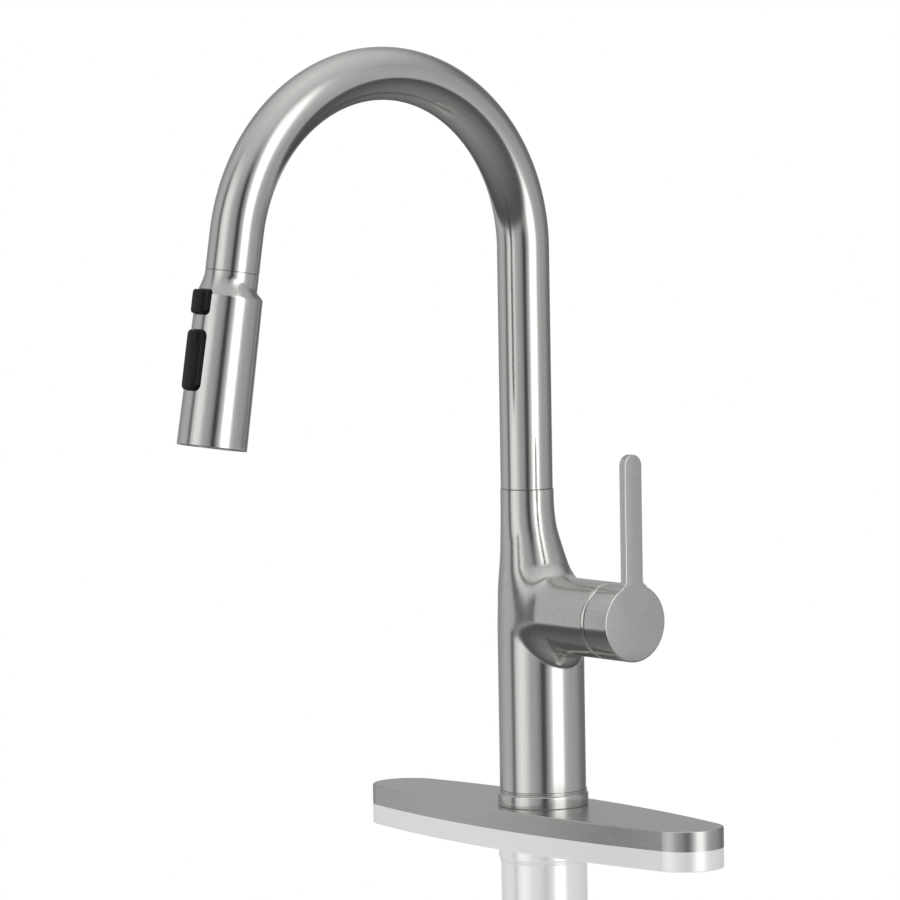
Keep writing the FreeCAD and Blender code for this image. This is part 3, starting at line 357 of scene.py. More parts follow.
def brushed_metal(name, colour, roughness, stretch, turn=(0, 0, 0), grain=0.05, coordinates="Object"):
    """Satin metal whose fine grain runs along the axis with the smallest stretch."""
    material = bpy.data.materials.new(name)
    material.use_nodes = True
    tree = Nodes(material.node_tree)
    shader = material.node_tree.nodes["Principled BSDF"]
    shader.inputs["Metallic"].default_value = 1
    where = tree.add("ShaderNodeTexCoord").outputs[coordinates]
    mapping = tree.add("ShaderNodeMapping")
    mapping.inputs["Rotation"].default_value = turn
    mapping.inputs["Scale"].default_value = stretch
    tree.link(where, mapping.inputs["Vector"])
    lines = tree.add("ShaderNodeTexNoise")
    lines.inputs["Scale"].default_value = 1
    lines.inputs["Detail"].default_value = 4
    lines.inputs["Roughness"].default_value = 0.65
    tree.link(mapping.outputs["Vector"], lines.inputs["Vector"])
    clouds = tree.add("ShaderNodeTexNoise")
    clouds.inputs["Scale"].default_value = 22
    clouds.inputs["Detail"].default_value = 3
    tree.link(tree.add("ShaderNodeTexCoord").outputs["Object"], clouds.inputs["Vector"])
    dark = tuple(c * 0.93 for c in colour)
    light = tuple(min(c * 1.05, 1) for c in colour)
    shade = tree.ramp(lines.outputs["Fac"], [(0.30, dark), (0.70, light)])
    tree.link(shade, shader.inputs["Base Color"])
    wear = tree.math("MULTIPLY_ADD", clouds.outputs["Fac"], 0.05)
    wear.node.inputs[2].default_value = roughness - 0.05
    rough = tree.math("MULTIPLY_ADD", lines.outputs["Fac"], 0.07)
    tree.link(wear, rough.node.inputs[2])
    tree.link(rough, shader.inputs["Roughness"])
    bump = tree.add("ShaderNodeBump")
    bump.inputs["Strength"].default_value = grain
    bump.inputs["Distance"].default_value = GRAIN_RELIEF
    tree.link(lines.outputs["Fac"], bump.inputs["Height"])
    tree.link(bump.outputs["Normal"], shader.inputs["Normal"])
    return material


def moulded(name, colour, roughness, metallic=0.0, grain_scale=900, grain=0.08, shine=0.5):
    """Plastic, rubber, ceramic or turned metal with a fine surface and slight shade changes."""
    material = bpy.data.materials.new(name)
    material.use_nodes = True
    tree = Nodes(material.node_tree)
    shader = material.node_tree.nodes["Principled BSDF"]
    shader.inputs["Metallic"].default_value = metallic
    shader.inputs["Specular IOR Level"].default_value = shine
    where = tree.add("ShaderNodeTexCoord").outputs["Object"]
    fine = tree.add("ShaderNodeTexNoise")
    fine.inputs["Scale"].default_value = grain_scale
    fine.inputs["Detail"].default_value = 2
    tree.link(where, fine.inputs["Vector"])
    broad = tree.add("ShaderNodeTexNoise")
    broad.inputs["Scale"].default_value = 45
    tree.link(where, broad.inputs["Vector"])
    shade = tree.ramp(
        broad.outputs["Fac"],
        [(0.3, tuple(c * 0.88 for c in colour)), (0.7, tuple(min(c * 1.10, 1) for c in colour))],
    )
    tree.link(shade, shader.inputs["Base Color"])
    rough = tree.math("MULTIPLY_ADD", fine.outputs["Fac"], 0.08)
    rough.node.inputs[2].default_value = roughness - 0.04
    tree.link(rough, shader.inputs["Roughness"])
    bump = tree.add("ShaderNodeBump")
    bump.inputs["Strength"].default_value = grain
    bump.inputs["Distance"].default_value = GRAIN_RELIEF
    tree.link(fine.outputs["Fac"], bump.inputs["Height"])
    tree.link(bump.outputs["Normal"], shader.inputs["Normal"])
    return material


BRAID_STRANDS = 12
BRAID_PITCH = 2200
BRAID_RELIEF = 0.4 * MM
HOSE_RADIUS = 5.5 * MM


def braided(name, origin, turn):
    """Crossed black strands round a hose that runs through origin along the turned Z axis."""
    material = bpy.data.materials.new(name)
    material.use_nodes = True
    tree = Nodes(material.node_tree)
    shader = material.node_tree.nodes["Principled BSDF"]
    where = tree.add("ShaderNodeTexCoord").outputs["Object"]
    mapping = tree.add("ShaderNodeMapping", vector_type="TEXTURE")
    mapping.inputs["Location"].default_value = origin
    mapping.inputs["Rotation"].default_value = turn
    tree.link(where, mapping.inputs["Vector"])
    split = tree.add("ShaderNodeSeparateXYZ")
    tree.link(mapping.outputs["Vector"], split.inputs[0])
    bearing = tree.math("ARCTAN2", split.outputs["Y"], split.outputs["X"])
    angle = tree.math("MULTIPLY", bearing, BRAID_STRANDS)
    climb = tree.math("MULTIPLY", split.outputs["Z"], BRAID_PITCH)
    left = tree.math("SINE", tree.math("ADD", angle, climb))
    right = tree.math("SINE", tree.math("SUBTRACT", angle, climb))
    weave = tree.math("MULTIPLY_ADD", tree.math("MULTIPLY", left, right), 0.5)
    weave.node.inputs[2].default_value = 0.5
    shade = tree.ramp(weave, [(0.15, grey(0.012)), (0.55, grey(0.05)), (0.9, grey(0.13))])
    tree.link(shade, shader.inputs["Base Color"])
    shader.inputs["Roughness"].default_value = 0.45
    bump = tree.add("ShaderNodeBump")
    bump.inputs["Strength"].default_value = 0.6
    bump.inputs["Distance"].default_value = BRAID_RELIEF
    tree.link(weave, bump.inputs["Height"])
    tree.link(bump.outputs["Normal"], shader.inputs["Normal"])
    return material


NICKEL = (0.600, 0.592, 0.578)
PLATE_NICKEL = (0.58, 0.572, 0.56)
ALONG_Z = (900, 900, 18)
ALONG_X = (18, 900, 900)


def make_materials():
    upright = brushed_metal("nickel_upright", NICKEL, 0.14, ALONG_Z)
    level = brushed_metal("nickel_level", NICKEL, 0.16, ALONG_X)
    leaning = brushed_metal("nickel_leaning", NICKEL, 0.14, ALONG_Z, turn=(TILT, 0, 0))
    tube = brushed_metal("nickel_tube", NICKEL, 0.14, (130, 12, 1), coordinates="UV")
    return {
        "upright": upright,
        "level": level,
        "plate": brushed_metal("nickel_plate", PLATE_NICKEL, 0.27, ALONG_X),
        "leaning": leaning,
        "tube": tube,
        "polished_nickel": brushed_metal("nickel_polished", (0.68, 0.67, 0.66), 0.12, ALONG_Z),
        "stainless": brushed_metal("stainless", (0.62, 0.62, 0.62), 0.26, (500, 500, 500)),
        "brass": moulded("brass_turned", (0.72, 0.52, 0.24), 0.28, metallic=1),
        "copper": moulded("copper_drawn", (0.76, 0.38, 0.24), 0.30, metallic=1),
        "liner_plastic": moulded("liner_black", (0.03, 0.03, 0.032), 0.55),
        "white_plastic": moulded("acetal_white", (0.74, 0.74, 0.71), 0.42),
        "grey_plastic": moulded("moulding_grey", (0.085, 0.086, 0.09), 0.45),
        "aerator_plastic": moulded("aerator_grey", (0.36, 0.37, 0.38), 0.40),
        "black_button": moulded("button_black", (0.004, 0.004, 0.0045), 0.14, grain=0.02, shine=0.22),
        "seal_rubber": moulded("seal_black", (0.012, 0.012, 0.012), 0.62),
        "foam_rubber": moulded("foam_black", (0.03, 0.03, 0.03), 0.85, grain=0.3),
        "nozzle_silicone": moulded("silicone_grey", (0.17, 0.175, 0.18), 0.55),
        "ceramic": moulded("alumina", (0.82, 0.78, 0.70), 0.18),
        "hose_braid": braided("braid_in_the_head", SEAM, (TILT, 0, 0)),
    }


# ------------------------------------------------------------- cast body
ELBOW = 40 * MM
NECK_REACH = 9.6 * MM
WAIST_DROP = 10 * MM
SHOULDER_TOP = SPOUT_FOOT - 3 * MM
NECK_INSIDE = TUBE_RADIUS - 0.9 * MM
CAST_FILLET = 9 * MM
NECK_FILLET = 2.5 * MM
LIP = 2 * MM
LIP_RISE = 1.05 * MM
CHAMBER = 18 * MM
SWIVEL_BORE = 12.3 * MM
FOOT_RADIUS = 21 * MM
GRID = 1.0 * MM


def smooth_share(share):
    share = np.clip(share, 0, 1)
    return share * share * (3 - 2 * share)


def casting_distance(p):
    """Distance outside the casting's skin: a pipe that bends from neck to housing, and the column."""
    x, y, z = p[:, 0], p[:, 1], p[:, 2]
    centre_x, centre_z = RISER_X + ELBOW, PIVOT.z + ELBOW
    turn = np.arctan2(centre_z - z, centre_x - x)
    on_neck = z >= centre_z
    on_housing = ~on_neck & (x >= centre_x)
    share = np.where(on_neck, 0, np.where(on_housing, 1, turn / (math.pi / 2)))
    off = np.where(
        on_neck,
        x - RISER_X,
        np.where(on_housing, z - PIVOT.z, ELBOW - np.hypot(x - centre_x, z - centre_z)),
    )
    pipe_reach = np.hypot(off, y) + 1e-9
    pipe = pipe_reach - (TUBE_RADIUS + (HUB_RADIUS - TUBE_RADIUS) * smooth_share(share))
    waist = PIVOT.z - WAIST_DROP
    swell = smooth_share((z - waist) / (SHOULDER_TOP - waist))
    column_x = x + NECK_REACH * swell
    column_reach = np.hypot(column_x, y) + 1e-9
    column = column_reach - (COLUMN_RADIUS + (NECK_INSIDE - COLUMN_RADIUS) * swell)
    above = smooth_share((z - PIVOT.z - 4 * MM) / (30 * MM))
    fillet = CAST_FILLET + (NECK_FILLET - CAST_FILLET) * above
    inside_pipe = np.maximum(fillet - pipe, 0)
    inside_column = np.maximum(fillet - column, 0)
    return np.maximum(fillet, np.minimum(pipe, column)) - np.hypot(inside_pipe, inside_column)


def settle(points, distance, steps=5):
    """Move points onto the surface where distance is 0."""
    reach = 0.02 * MM
    axes = np.eye(3) * reach
    for _ in range(steps):
        slope = np.stack(
            [(distance(points + a) - distance(points - a)) / (2 * reach) for a in axes], axis=1
        )
        length = np.maximum((slope * slope).sum(1), 0.05)
        points = points - slope * (distance(points) / length)[:, None]
    return points


def surface_net(distance, low, high, step):
    """A quad mesh of the surface where distance is 0, one point for each grid cell that it crosses."""
    axes = [np.arange(low[i], high[i] + step, step) for i in range(3)]
    shape = tuple(len(axis) for axis in axes)
    grid = np.stack(np.meshgrid(*axes, indexing="ij"), axis=-1).reshape(-1, 3)
    field = distance(grid).reshape(shape)
    inside = field < 0
    corners = [(i, j, k) for i in (0, 1) for j in (0, 1) for k in (0, 1)]
    window = [tuple(slice(c, n - 1 + c) for c, n in zip(corner, shape)) for corner in corners]
    count = sum(inside[w].astype(int) for w in window)
    cells = (count > 0) & (count < 8)
    number = -np.ones(cells.shape, int)
    where = np.argwhere(cells)
    number[tuple(where.T)] = np.arange(len(where))
    points = settle(np.array([axes[i][where[:, i]] for i in range(3)]).T + step / 2, distance)
    faces = []
    for axis in range(3):
        second, third = (axis + 1) % 3, (axis + 2) % 3
        ahead = [slice(None)] * 3
        behind = [slice(None)] * 3
        ahead[axis], behind[axis] = slice(1, None), slice(None, -1)
        crossing = np.argwhere(inside[tuple(ahead)] != inside[tuple(behind)])
        for spot in crossing:
            if min(spot[second], spot[third]) < 1:
                continue
            if any(spot[i] >= cells.shape[i] for i in range(3)):
                continue
            quad = []
            for back_second, back_third in ((1, 1), (0, 1), (0, 0), (1, 0)):
                cell = spot.copy()
                cell[second] -= back_second
                cell[third] -= back_third
                quad.append(int(number[tuple(cell)]))
            if min(quad) >= 0:
                faces.append(quad if inside[tuple(spot)] else quad[::-1])
    return points, faces


def close_end(shape, origin, normal, stages):
    """Cut the shell off at a plane, then run the open edge through (radius, depth) stages and cap it."""
    origin, normal = Vector(origin), Vector(normal)
    geometry = shape.verts[:] + shape.edges[:] + shape.faces[:]
    cut = bmesh.ops.bisect_plane(
        shape, geom=geometry, plane_co=origin, plane_no=normal, clear_outer=True
    )
    rim = [e for e in cut["geom_cut"] if isinstance(e, bmesh.types.BMEdge)]
    for radius, depth in stages:
        grown = bmesh.ops.extrude_edge_only(shape, edges=rim)["geom"]
        rim = [e for e in grown if isinstance(e, bmesh.types.BMEdge)]
        for vert in {v for e in rim for v in e.verts}:
            spoke = vert.co - origin
            spoke = (spoke - normal * spoke.dot(normal)).normalized()
            vert.co = origin + spoke * radius + normal * depth
    bmesh.ops.edgeloop_fill(shape, edges=rim)


def make_cast_body(materials):
    low = (-30 * MM, -28 * MM, RING_HIGH.z - 3 * MM)
    high = (BODY_HIGH.x + 3 * MM, 28 * MM, SPOUT_FOOT + 3 * MM)
    points, faces = surface_net(casting_distance, low, high, GRID)
    piece = mesh_object("cast_body", points, faces)
    shape = bmesh.new()
    shape.from_mesh(piece.data)
    edge = 0.3 * MM
    close_end(
        shape,
        (BODY_HIGH.x - LIP, 0, PIVOT.z),
        (1, 0, 0),
        [
            (HUB_RADIUS - LIP_RISE * 0.18, LIP * 0.5),
            (HUB_RADIUS - LIP_RISE * 0.5, LIP * 0.84),
            (HUB_RADIUS - LIP_RISE, LIP),
            (CHAMBER + edge, LIP),
            (CHAMBER, LIP - edge),
            (CHAMBER, LIP - (BODY_HIGH.x - 20 * MM)),
        ],
    )
    close_end(
        shape,
        (RISER_X, 0, SPOUT_FOOT - edge),
        (0, 0, 1),
        [(TUBE_RADIUS - edge, edge), (SWIVEL_BORE, edge), (SWIVEL_BORE, -32 * MM)],
    )
    close_end(
        shape,
        (0, 0, RING_HIGH.z + edge),
        (0, 0, -1),
        [
            (COLUMN_RADIUS - edge, edge),
            (FOOT_RADIUS, edge),
            (FOOT_RADIUS, RING_HIGH.z + edge - BODY_LOW.z),
        ],
    )
    shape.to_mesh(piece.data)
    shape.free()
    tidy(piece, crease=28)
    finish_piece(piece, materials["upright"], "base", "brushed_nickel", "faucet_body")


# ------------------------------------------------------------- gooseneck
TUBE_WALL = 1.5 * MM


def gooseneck_point(travel):
    """Centreline place and direction, by distance from the foot of the spout."""
    riser = ARCH_Z - SPOUT_FOOT
    arc = ARCH_RADIUS * (math.pi - TILT)
    if travel <= riser:
        return Vector((RISER_X, 0, SPOUT_FOOT + travel)), Vector((0, 0, 1))
    if travel <= riser + arc:
        turn = (travel - riser) / ARCH_RADIUS
        forward = -ARCH_RADIUS * (1 - math.cos(turn))
        place = Vector((RISER_X, forward, ARCH_Z + ARCH_RADIUS * math.sin(turn)))
        return place, Vector((0, -math.sin(turn), math.cos(turn)))
    left = riser + arc + STRAIGHT_END - travel
    return SEAM + HEAD_UP * left, -HEAD_UP


GOOSENECK_LENGTH = ARCH_Z - SPOUT_FOOT + ARCH_RADIUS * (math.pi - TILT) + STRAIGHT_END


def tube_along(name, stations, around, centreline, closed=True):
    """A closed skin through (travel, radius) stations, with its u round the tube and v along it."""
    points, faces, sheet = [], [], []
    side = Vector((1, 0, 0))
    for travel, radius in stations:
        place, ahead = centreline(travel)
        front = ahead.cross(side)
        for step in range(around):
            angle = 2 * math.pi * step / around
            points.append(place + (side * math.cos(angle) + front * math.sin(angle)) * radius)
    count = len(stations)
    last = count if closed else count - 1
    for row in range(last):
        here, there = row * around, (row + 1) % count * around
        for step in range(around):
            after = (step + 1) % around
            faces.append((here + step, here + after, there + after, there + step))
            sheet += [
                (step / around, stations[row][0]),
                ((step + 1) / around, stations[row][0]),
                ((step + 1) / around, stations[(row + 1) % count][0]),
                (step / around, stations[(row + 1) % count][0]),
            ]
    mesh = bpy.data.meshes.new(name)
    mesh.from_pydata([tuple(p) for p in points], [], faces)
    layer = mesh.uv_layers.new(name="along")
    layer.data.foreach_set("uv", np.array(sheet, np.float32).ravel())
    mesh.polygons.foreach_set("use_smooth", [True] * len(mesh.polygons))
    mesh.update()
    piece = bpy.data.objects.new(name, mesh)
    bpy.context.scene.collection.objects.link(piece)
    return tidy(piece, crease=28)


def make_spout_tube(materials):
    length = GOOSENECK_LENGTH
    edge = 0.3 * MM
    inner = TUBE_RADIUS - TUBE_WALL
    rings = 220
    outer = [(edge + (length - 2 * edge) * i / rings, TUBE_RADIUS) for i in range(rings + 1)]
    stations = [(0, TUBE_RADIUS - edge)] + outer + [(length, TUBE_RADIUS - edge)]
    stations += [(length * (1 - i / rings), inner) for i in range(rings + 1)]
    piece = tube_along("spout_tube_skin", stations, 96, gooseneck_point)
    finish_piece(piece, materials["tube"], "spout", "brushed_nickel", "spout_tube")


# ------------------------------------------------------------- pull hose
BLEND_RISE = 24 * MM
FERRULE_RISE = 20 * MM
HOSE_FOOT_GAP = 0.4 * MM


def make_pull_hose(materials):
    """The hose in the gooseneck, and a short piece of its end, the part that lengthens on the real tap when the
    spray head is pulled down.
    """
    bend_start = GOOSENECK_LENGTH - BLEND_RISE
    rings = 150
    run = bend_start - HOSE_FOOT_GAP
    stations = [(HOSE_FOOT_GAP + run * i / rings, HOSE_RADIUS) for i in range(rings + 1)]
    inside = tube_along("pull_hose_in_the_spout", stations, 40, gooseneck_point, closed=False)
    cap_ends(inside)
    finish_piece(inside, materials["hose_braid"], "spout", "hose_braid", "pull_hose")
    steps = 80
    share = [0.5 - math.sin(math.asin(1 - 2 * i / steps) / 3) for i in range(steps + 1)]
    reach = BLEND_RISE - FERRULE_RISE
    end = tube_along(
        "pull_hose_end",
        [(bend_start + reach * t, HOSE_RADIUS) for t in share],
        40,
        gooseneck_point,
        closed=False,
    )
    cap_ends(end)
    end.data.materials.clear()
    end.data.materials.append(materials["hose_braid"])
    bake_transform(end)


def cap_ends(piece):
    shape = bmesh.new()
    shape.from_mesh(piece.data)
    bmesh.ops.holes_fill(shape, edges=[edge for edge in shape.edges if edge.is_boundary])
    shape.to_mesh(piece.data)
    shape.free()
    tidy(piece)


# ------------------------------------------------------------- lever handle
HUB_FACE = LEVER_HIGH.x
HUB_RIM = LEVER_LOW.x
BLADE_TOP = LEVER_HIGH.z - PIVOT.z
BLADE_HALF = 6 * MM
BLADE_THICK = 4.6 * MM
HUB_CAVITY = 22.9 * MM
STEM_HALF = 4.05 * MM
BLADE_FLARE = 2.6 * MM
BLADE_ROOT = 8 * MM
SCREW_BORE_TOP = -4.2 * MM
SCREW_BORE_BOTTOM = -26 * MM


def blade_outline(inset, root):
    """The blade's face outline, from its flared root in the hub to its round tip."""
    half = BLADE_HALF - inset
    flare = BLADE_FLARE
    start = HUB_RADIUS + 2.2 * MM
    outline = [(-half - flare, root), (half + flare, root)]
    steps = 6
    foot = HUB_RADIUS - 0.9 * MM
    outline += [
        (half + flare * (1 - math.sin(a)), start - (start - foot) * math.cos(a))
        for a in (math.pi / 2 * i / steps for i in range(steps + 1))
    ]
    tip = BLADE_TOP - BLADE_HALF
    turns = 16
    outline += [
        (half * math.cos(math.pi * i / turns), tip + half * math.sin(math.pi * i / turns))
        for i in range(turns + 1)
    ]
    outline += [(-x, y) for x, y in reversed(outline[2 : steps + 3])]
    return outline


def slab(name, layers, place):
    """A closed slab from (outline, depth) layers whose outlines have the same number of points."""
    count = len(layers[0][0])
    points = [place @ Vector((x, y, depth)) for outline, depth in layers for x, y in outline]
    faces = [tuple(reversed(range(count)))]
    for row in range(len(layers) - 1):
        for index in range(count):
            after = (index + 1) % count
            here, there = row * count, (row + 1) * count
            faces.append((here + index, here + after, there + after, there + index))
    faces.append(tuple(range((len(layers) - 1) * count, len(layers) * count)))
    return tidy(mesh_object(name, points, faces), crease=40)


def combine(piece, tool, operation):
    """Join or cut piece with tool, which is then removed."""
    modifier = piece.modifiers.new("combine", "BOOLEAN")
    modifier.operation = operation
    modifier.solver = "EXACT"
    modifier.object = tool
    shown = bpy.context.evaluated_depsgraph_get()
    made = bpy.data.meshes.new_from_object(piece.evaluated_get(shown))
    piece.modifiers.clear()
    piece.data = made
    bpy.data.objects.remove(tool)
    return piece


def make_lever(materials):
    edge = 0.7 * MM
    steps = 14
    bends = 5
    socket = STEM_HALF * 1.42
    bottom = HUB_FACE - 2.4 * MM
    mouth = math.asin(socket / HUB_CAVITY)
    wall = math.acos((HUB_RIM - PIVOT.x) / HUB_CAVITY)
    cavity = [mouth + (wall - mouth) * i / steps for i in range(steps + 1)]
    outline = [(ON_AXIS, bottom), (socket, bottom)]
    outline += [(HUB_CAVITY * math.sin(a), PIVOT.x + HUB_CAVITY * math.cos(a)) for a in cavity]
    outline += [
        (HUB_RADIUS - 0.3 * MM, HUB_RIM),
        (HUB_RADIUS, HUB_RIM + 0.3 * MM),
    ]
    outline += [
        (HUB_RADIUS - edge + edge * math.cos(a), HUB_FACE - edge + edge * math.sin(a))
        for a in (math.pi / 2 * i / bends for i in range(bends + 1))
    ]
    outline.append((ON_AXIS, HUB_FACE))
    hub = lathe("lever", outline, LEVER_FRAME, segments=160)
    blade_frame = Matrix(((0, 0, 1, 0), (1, 0, 0, 0), (0, 1, 0, PIVOT.z), (0, 0, 0, 1)))
    root = BLADE_ROOT
    back = HUB_FACE - BLADE_THICK
    layers = []
    for i in range(bends + 1):
        a = math.pi / 2 * i / bends
        depth = back + edge * (1 - math.cos(a))
        layers.append((blade_outline(edge * (1 - math.sin(a)), root), depth))
    for i in range(bends + 1):
        a = math.pi / 2 * i / bends
        depth = HUB_FACE - edge + edge * math.sin(a)
        layers.append((blade_outline(edge * (1 - math.cos(a)), root), depth))
    blade = slab("blade", layers, blade_frame)
    combine(hub, blade, "UNION")
    screw_low, screw_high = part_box("handle_screw")
    screw_radius = (screw_high.y - screw_low.y) / 2
    screw_x = (screw_high.x + screw_low.x) / 2
    hole = [
        (ON_AXIS, SCREW_BORE_TOP),
        (screw_radius, SCREW_BORE_TOP),
        (screw_radius, SCREW_BORE_BOTTOM),
        (ON_AXIS, SCREW_BORE_BOTTOM),
    ]
    bore = lathe("screw_bore", hole, Matrix.Translation((screw_x, 0, PIVOT.z)), segments=40)
    combine(hub, bore, "DIFFERENCE")
    tidy(hub, crease=32)
    finish_piece(hub, materials["level"], "lever", "brushed_nickel", "lever_handle")


# ------------------------------------------------------------- spray head
HEAD_LENGTH = 91.4 * MM
GRIP_TOP = 17.4 * MM
GRIP_FACE = 18.3 * MM
GRIP_WALL = 2 * MM
SHOULDER = 13.2 * MM
BUTTON_HALF = 6.2 * MM
BUTTON_GAP = 0.5 * MM
PAUSE_DROP = 17.2 * MM
PAUSE_LENGTH = 12.6 * MM
PAUSE_CORNER = 2.2 * MM
ROCKER_DROP = 47.5 * MM
ROCKER_LENGTH = 31 * MM
ROCKER_CORNER = 3 * MM
BUTTON_PROUD = 2.8 * MM
PAUSE_BACK = 14.6 * MM
ROCKER_BACK = 13.6 * MM
PLUNGER = 2.35 * MM
NECK_DEPTH = 6 * MM
DOCK_BORE = 9.9 * MM
CUTTER_BACK = 11 * MM
CUTTER_FRONT = 26 * MM


def grip_radius(drop):
    return GRIP_TOP + (GRIP_FACE - GRIP_TOP) * (drop - SHOULDER) / (HEAD_LENGTH - SHOULDER)


def head_skin(angle, drop):
    """Outer radius: the shoulder starts at the seam in front, and lower down at the back."""
    front = (1 - math.sin(angle)) / 2
    start = 9.2 * MM - 8.2 * MM * front**1.3
    share = min(max((drop - start) / (SHOULDER - start), 0), 1)
    ease = share * share * (3 - 2 * share)
    ease = ease * (1 - front) + share**1.35 * front
    return TUBE_RADIUS + (grip_radius(max(drop, SHOULDER)) - TUBE_RADIUS) * ease


def rounded_rectangle(half_x, half_y, corner, steps=6):
    outline = []
    for sx, sy, first in ((1, -1, -90), (1, 1, 0), (-1, 1, 90), (-1, -1, 180)):
        for i in range(steps + 1):
            a = math.radians(first + 90 * i / steps)
            x = sx * (half_x - corner) + corner * math.cos(a)
            y = sy * (half_y - corner) + corner * math.sin(a)
            outline.append((x, y))
    return outline


def button_frame(drop):
    """Local X across the head, local Y up the head, local Z out of its front; at the head's axis."""
    return HEAD_FRAME @ Matrix(((1, 0, 0, 0), (0, 0, -1, 0), (0, 1, 0, -drop), (0, 0, 0, 1)))


def make_head_shell(materials):
    around = 160
    edge = 0.35 * MM
    drops = [0, edge] + [0.6 * MM * i for i in range(1, 25)]
    drops += [15 * MM + (HEAD_LENGTH - 15 * MM - 0.6 * MM) * i / 30 for i in range(31)]
    rim = 0.6 * MM
    rows = []
    for drop in drops:
        trim = edge if drop == 0 else 0
        rows.append([(head_skin(2 * math.pi * s / around, drop) - trim, drop) for s in range(around)])
    for i in range(1, 5):
        a = math.pi / 2 * i / 4
        radius = grip_radius(HEAD_LENGTH) - rim + rim * math.cos(a)
        rows.append([(radius, HEAD_LENGTH - rim + rim * math.sin(a))] * around)
    inner_face = GRIP_FACE - GRIP_WALL
    rows.append([(inner_face + 0.3 * MM, HEAD_LENGTH)] * around)
    rows.append([(inner_face, HEAD_LENGTH - 0.3 * MM)] * around)
    rows.append([(GRIP_TOP - GRIP_WALL, SHOULDER)] * around)
    rows.append([(TUBE_RADIUS - 3 * MM, NECK_DEPTH)] * around)
    rows.append([(DOCK_BORE, NECK_DEPTH)] * around)
    rows.append([(DOCK_BORE, 0)] * around)
    points, faces = [], []
    for row in rows:
        for step, (radius, drop) in enumerate(row):
            angle = 2 * math.pi * step / around
            spot = Vector((radius * math.cos(angle), radius * math.sin(angle), -drop))
            points.append(HEAD_FRAME @ spot)
    for row in range(len(rows)):
        here, there = row * around, (row + 1) % len(rows) * around
        for step in range(around):
            after = (step + 1) % around
            faces.append((here + step, there + step, there + after, here + after))
    shell = tidy(mesh_object("head_skin", points, faces))
    for name, drop, length, corner in (
        ("pause", PAUSE_DROP, PAUSE_LENGTH, PAUSE_CORNER),
        ("rocker", ROCKER_DROP, ROCKER_LENGTH, ROCKER_CORNER),
    ):
        outline = rounded_rectangle(
            BUTTON_HALF + BUTTON_GAP, length / 2 + BUTTON_GAP, corner + BUTTON_GAP
        )
        layers = [(outline, CUTTER_BACK), (outline, CUTTER_FRONT)]
        cutter = slab(name + "_cutter", layers, button_frame(drop))
        combine(shell, cutter, "DIFFERENCE")
    tidy(shell, crease=32)
    finish_piece(shell, materials["leaning"], "spray_head", "brushed_nickel", "head_shell")


def make_button(name, drop, length, corner, dish, back, inner_part, materials, body, node):
    """A glossy cap whose top is curved across, rounded at its edges and dished along."""
    edge = 1.0 * MM
    face = grip_radius(drop) + BUTTON_PROUD
    steps, bends, rings = 6, 6, 12

    def height(x, y, inset):
        across = x * x / (2 * 26 * MM)
        along = dish * (1 - (2 * y / length) ** 2)
        return face - across - along - inset

    place = button_frame(drop)
    outline = rounded_rectangle(BUTTON_HALF, length / 2, corner, steps)
    count = len(outline)
    points = [place @ Vector((x, y, back)) for x, y in outline]
    for i in range(bends + 1):
        a = math.pi / 2 * i / bends
        inset = edge * (1 - math.cos(a))
        ring = rounded_rectangle(BUTTON_HALF - inset, length / 2 - inset, corner - inset * 0.8, steps)
        points += [place @ Vector((x, y, height(x, y, edge * (1 - math.sin(a))))) for x, y in ring]
    inner = rounded_rectangle(BUTTON_HALF - edge, length / 2 - edge, corner - edge * 0.8, steps)
    for i in range(1, rings):
        scale = 1 - i / rings
        shrunk = [(x * scale, y * scale) for x, y in inner]
        points += [place @ Vector((x, y, height(x, y, 0))) for x, y in shrunk]
    layers = 2 + bends + rings - 1
    points.append(place @ Vector((0, 0, height(0, 0, 0))))
    faces = [tuple(reversed(range(count)))]
    for row in range(layers - 1):
        for index in range(count):
            after = (index + 1) % count
            here, there = row * count, (row + 1) * count
            faces.append((here + index, here + after, there + after, there + index))
    last = (layers - 1) * count
    faces += [(last + index, last + (index + 1) % count, layers * count) for index in range(count)]
    piece = tidy(mesh_object(name, points, faces), crease=50)
    root = slab(name + "_root", [(inner_part[0], inner_part[1]), (inner_part[0], back + MM)], place)
    combine(piece, root, "UNION")
    tidy(piece, crease=50)
    finish_piece(piece, materials["black_button"], body, "black_button", node)


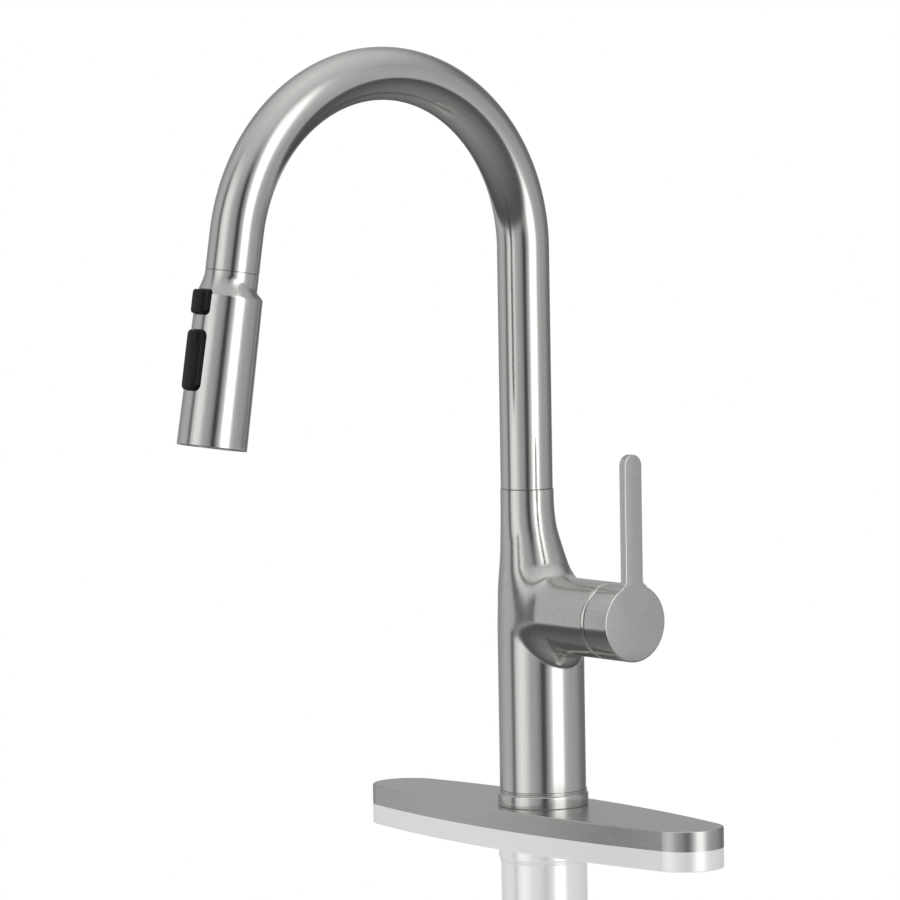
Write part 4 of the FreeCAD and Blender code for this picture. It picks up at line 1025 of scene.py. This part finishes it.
def make_buttons(materials):
    plunger = (rounded_rectangle(PLUNGER, PLUNGER, PLUNGER * 0.999), 4 * MM)
    lug = (rounded_rectangle(2.1 * MM, 2.8 * MM, 0.3 * MM), 10 * MM)
    make_button(
        "pause_cap",
        PAUSE_DROP,
        PAUSE_LENGTH,
        PAUSE_CORNER,
        0.15 * MM,
        PAUSE_BACK,
        plunger,
        materials,
        "pause",
        "pause_button",
    )
    make_button(
        "rocker_cap",
        ROCKER_DROP,
        ROCKER_LENGTH,
        ROCKER_CORNER,
        0.5 * MM,
        ROCKER_BACK,
        lug,
        materials,
        "rocker",
        "mode_rocker",
    )


# ------------------------------------------------------------- base ring
def make_base_ring(materials):
    low, high = RING_LOW.z, RING_HIGH.z
    outer = RING_HIGH.x
    bore = FOOT_RADIUS + 0.05 * MM
    groove = 1.9 * MM
    outline = rounded(
        [
            (bore, low, 0),
            (outer, low, 0.5 * MM),
            (outer, high - groove, 1.2 * MM),
            (COLUMN_RADIUS + 0.1 * MM, high - groove + 0.5 * MM, 0.4 * MM),
            (COLUMN_RADIUS + 0.1 * MM, high - 0.9 * MM, 0.3 * MM),
            (COLUMN_RADIUS + 0.6 * MM, high - 0.5 * MM, 0.3 * MM),
            (COLUMN_RADIUS + 0.5 * MM, high, 0.2 * MM),
            (bore, high, 0),
        ]
    )
    ring = lathe("base_ring_skin", [(p[0], p[1]) for p in outline], segments=160)
    finish_piece(ring, materials["upright"], "base", "brushed_nickel", "base_ring")


# ------------------------------------------------------------- build
def dress_nodes(materials):
    """Give each CAD node that stays in view its material, by its slot in the record."""
    slots = {part["node"]: part["material_slot"] for part in frame["record"]["subparts"]}
    for name, node in frame["nodes"].items():
        slot = slots[name]
        if slot == "brushed_nickel":
            finish = {"deck_plate": "plate"}.get(name, "upright")
        else:
            finish = slot
        node.data.materials.clear()
        node.data.materials.append(materials[finish])


make_camera()
make_studio()
make_floor()
materials = make_materials()
dress_nodes(materials)
make_cast_body(materials)
make_spout_tube(materials)
make_lever(materials)
make_head_shell(materials)
make_buttons(materials)
make_base_ring(materials)
make_pull_hose(materials)
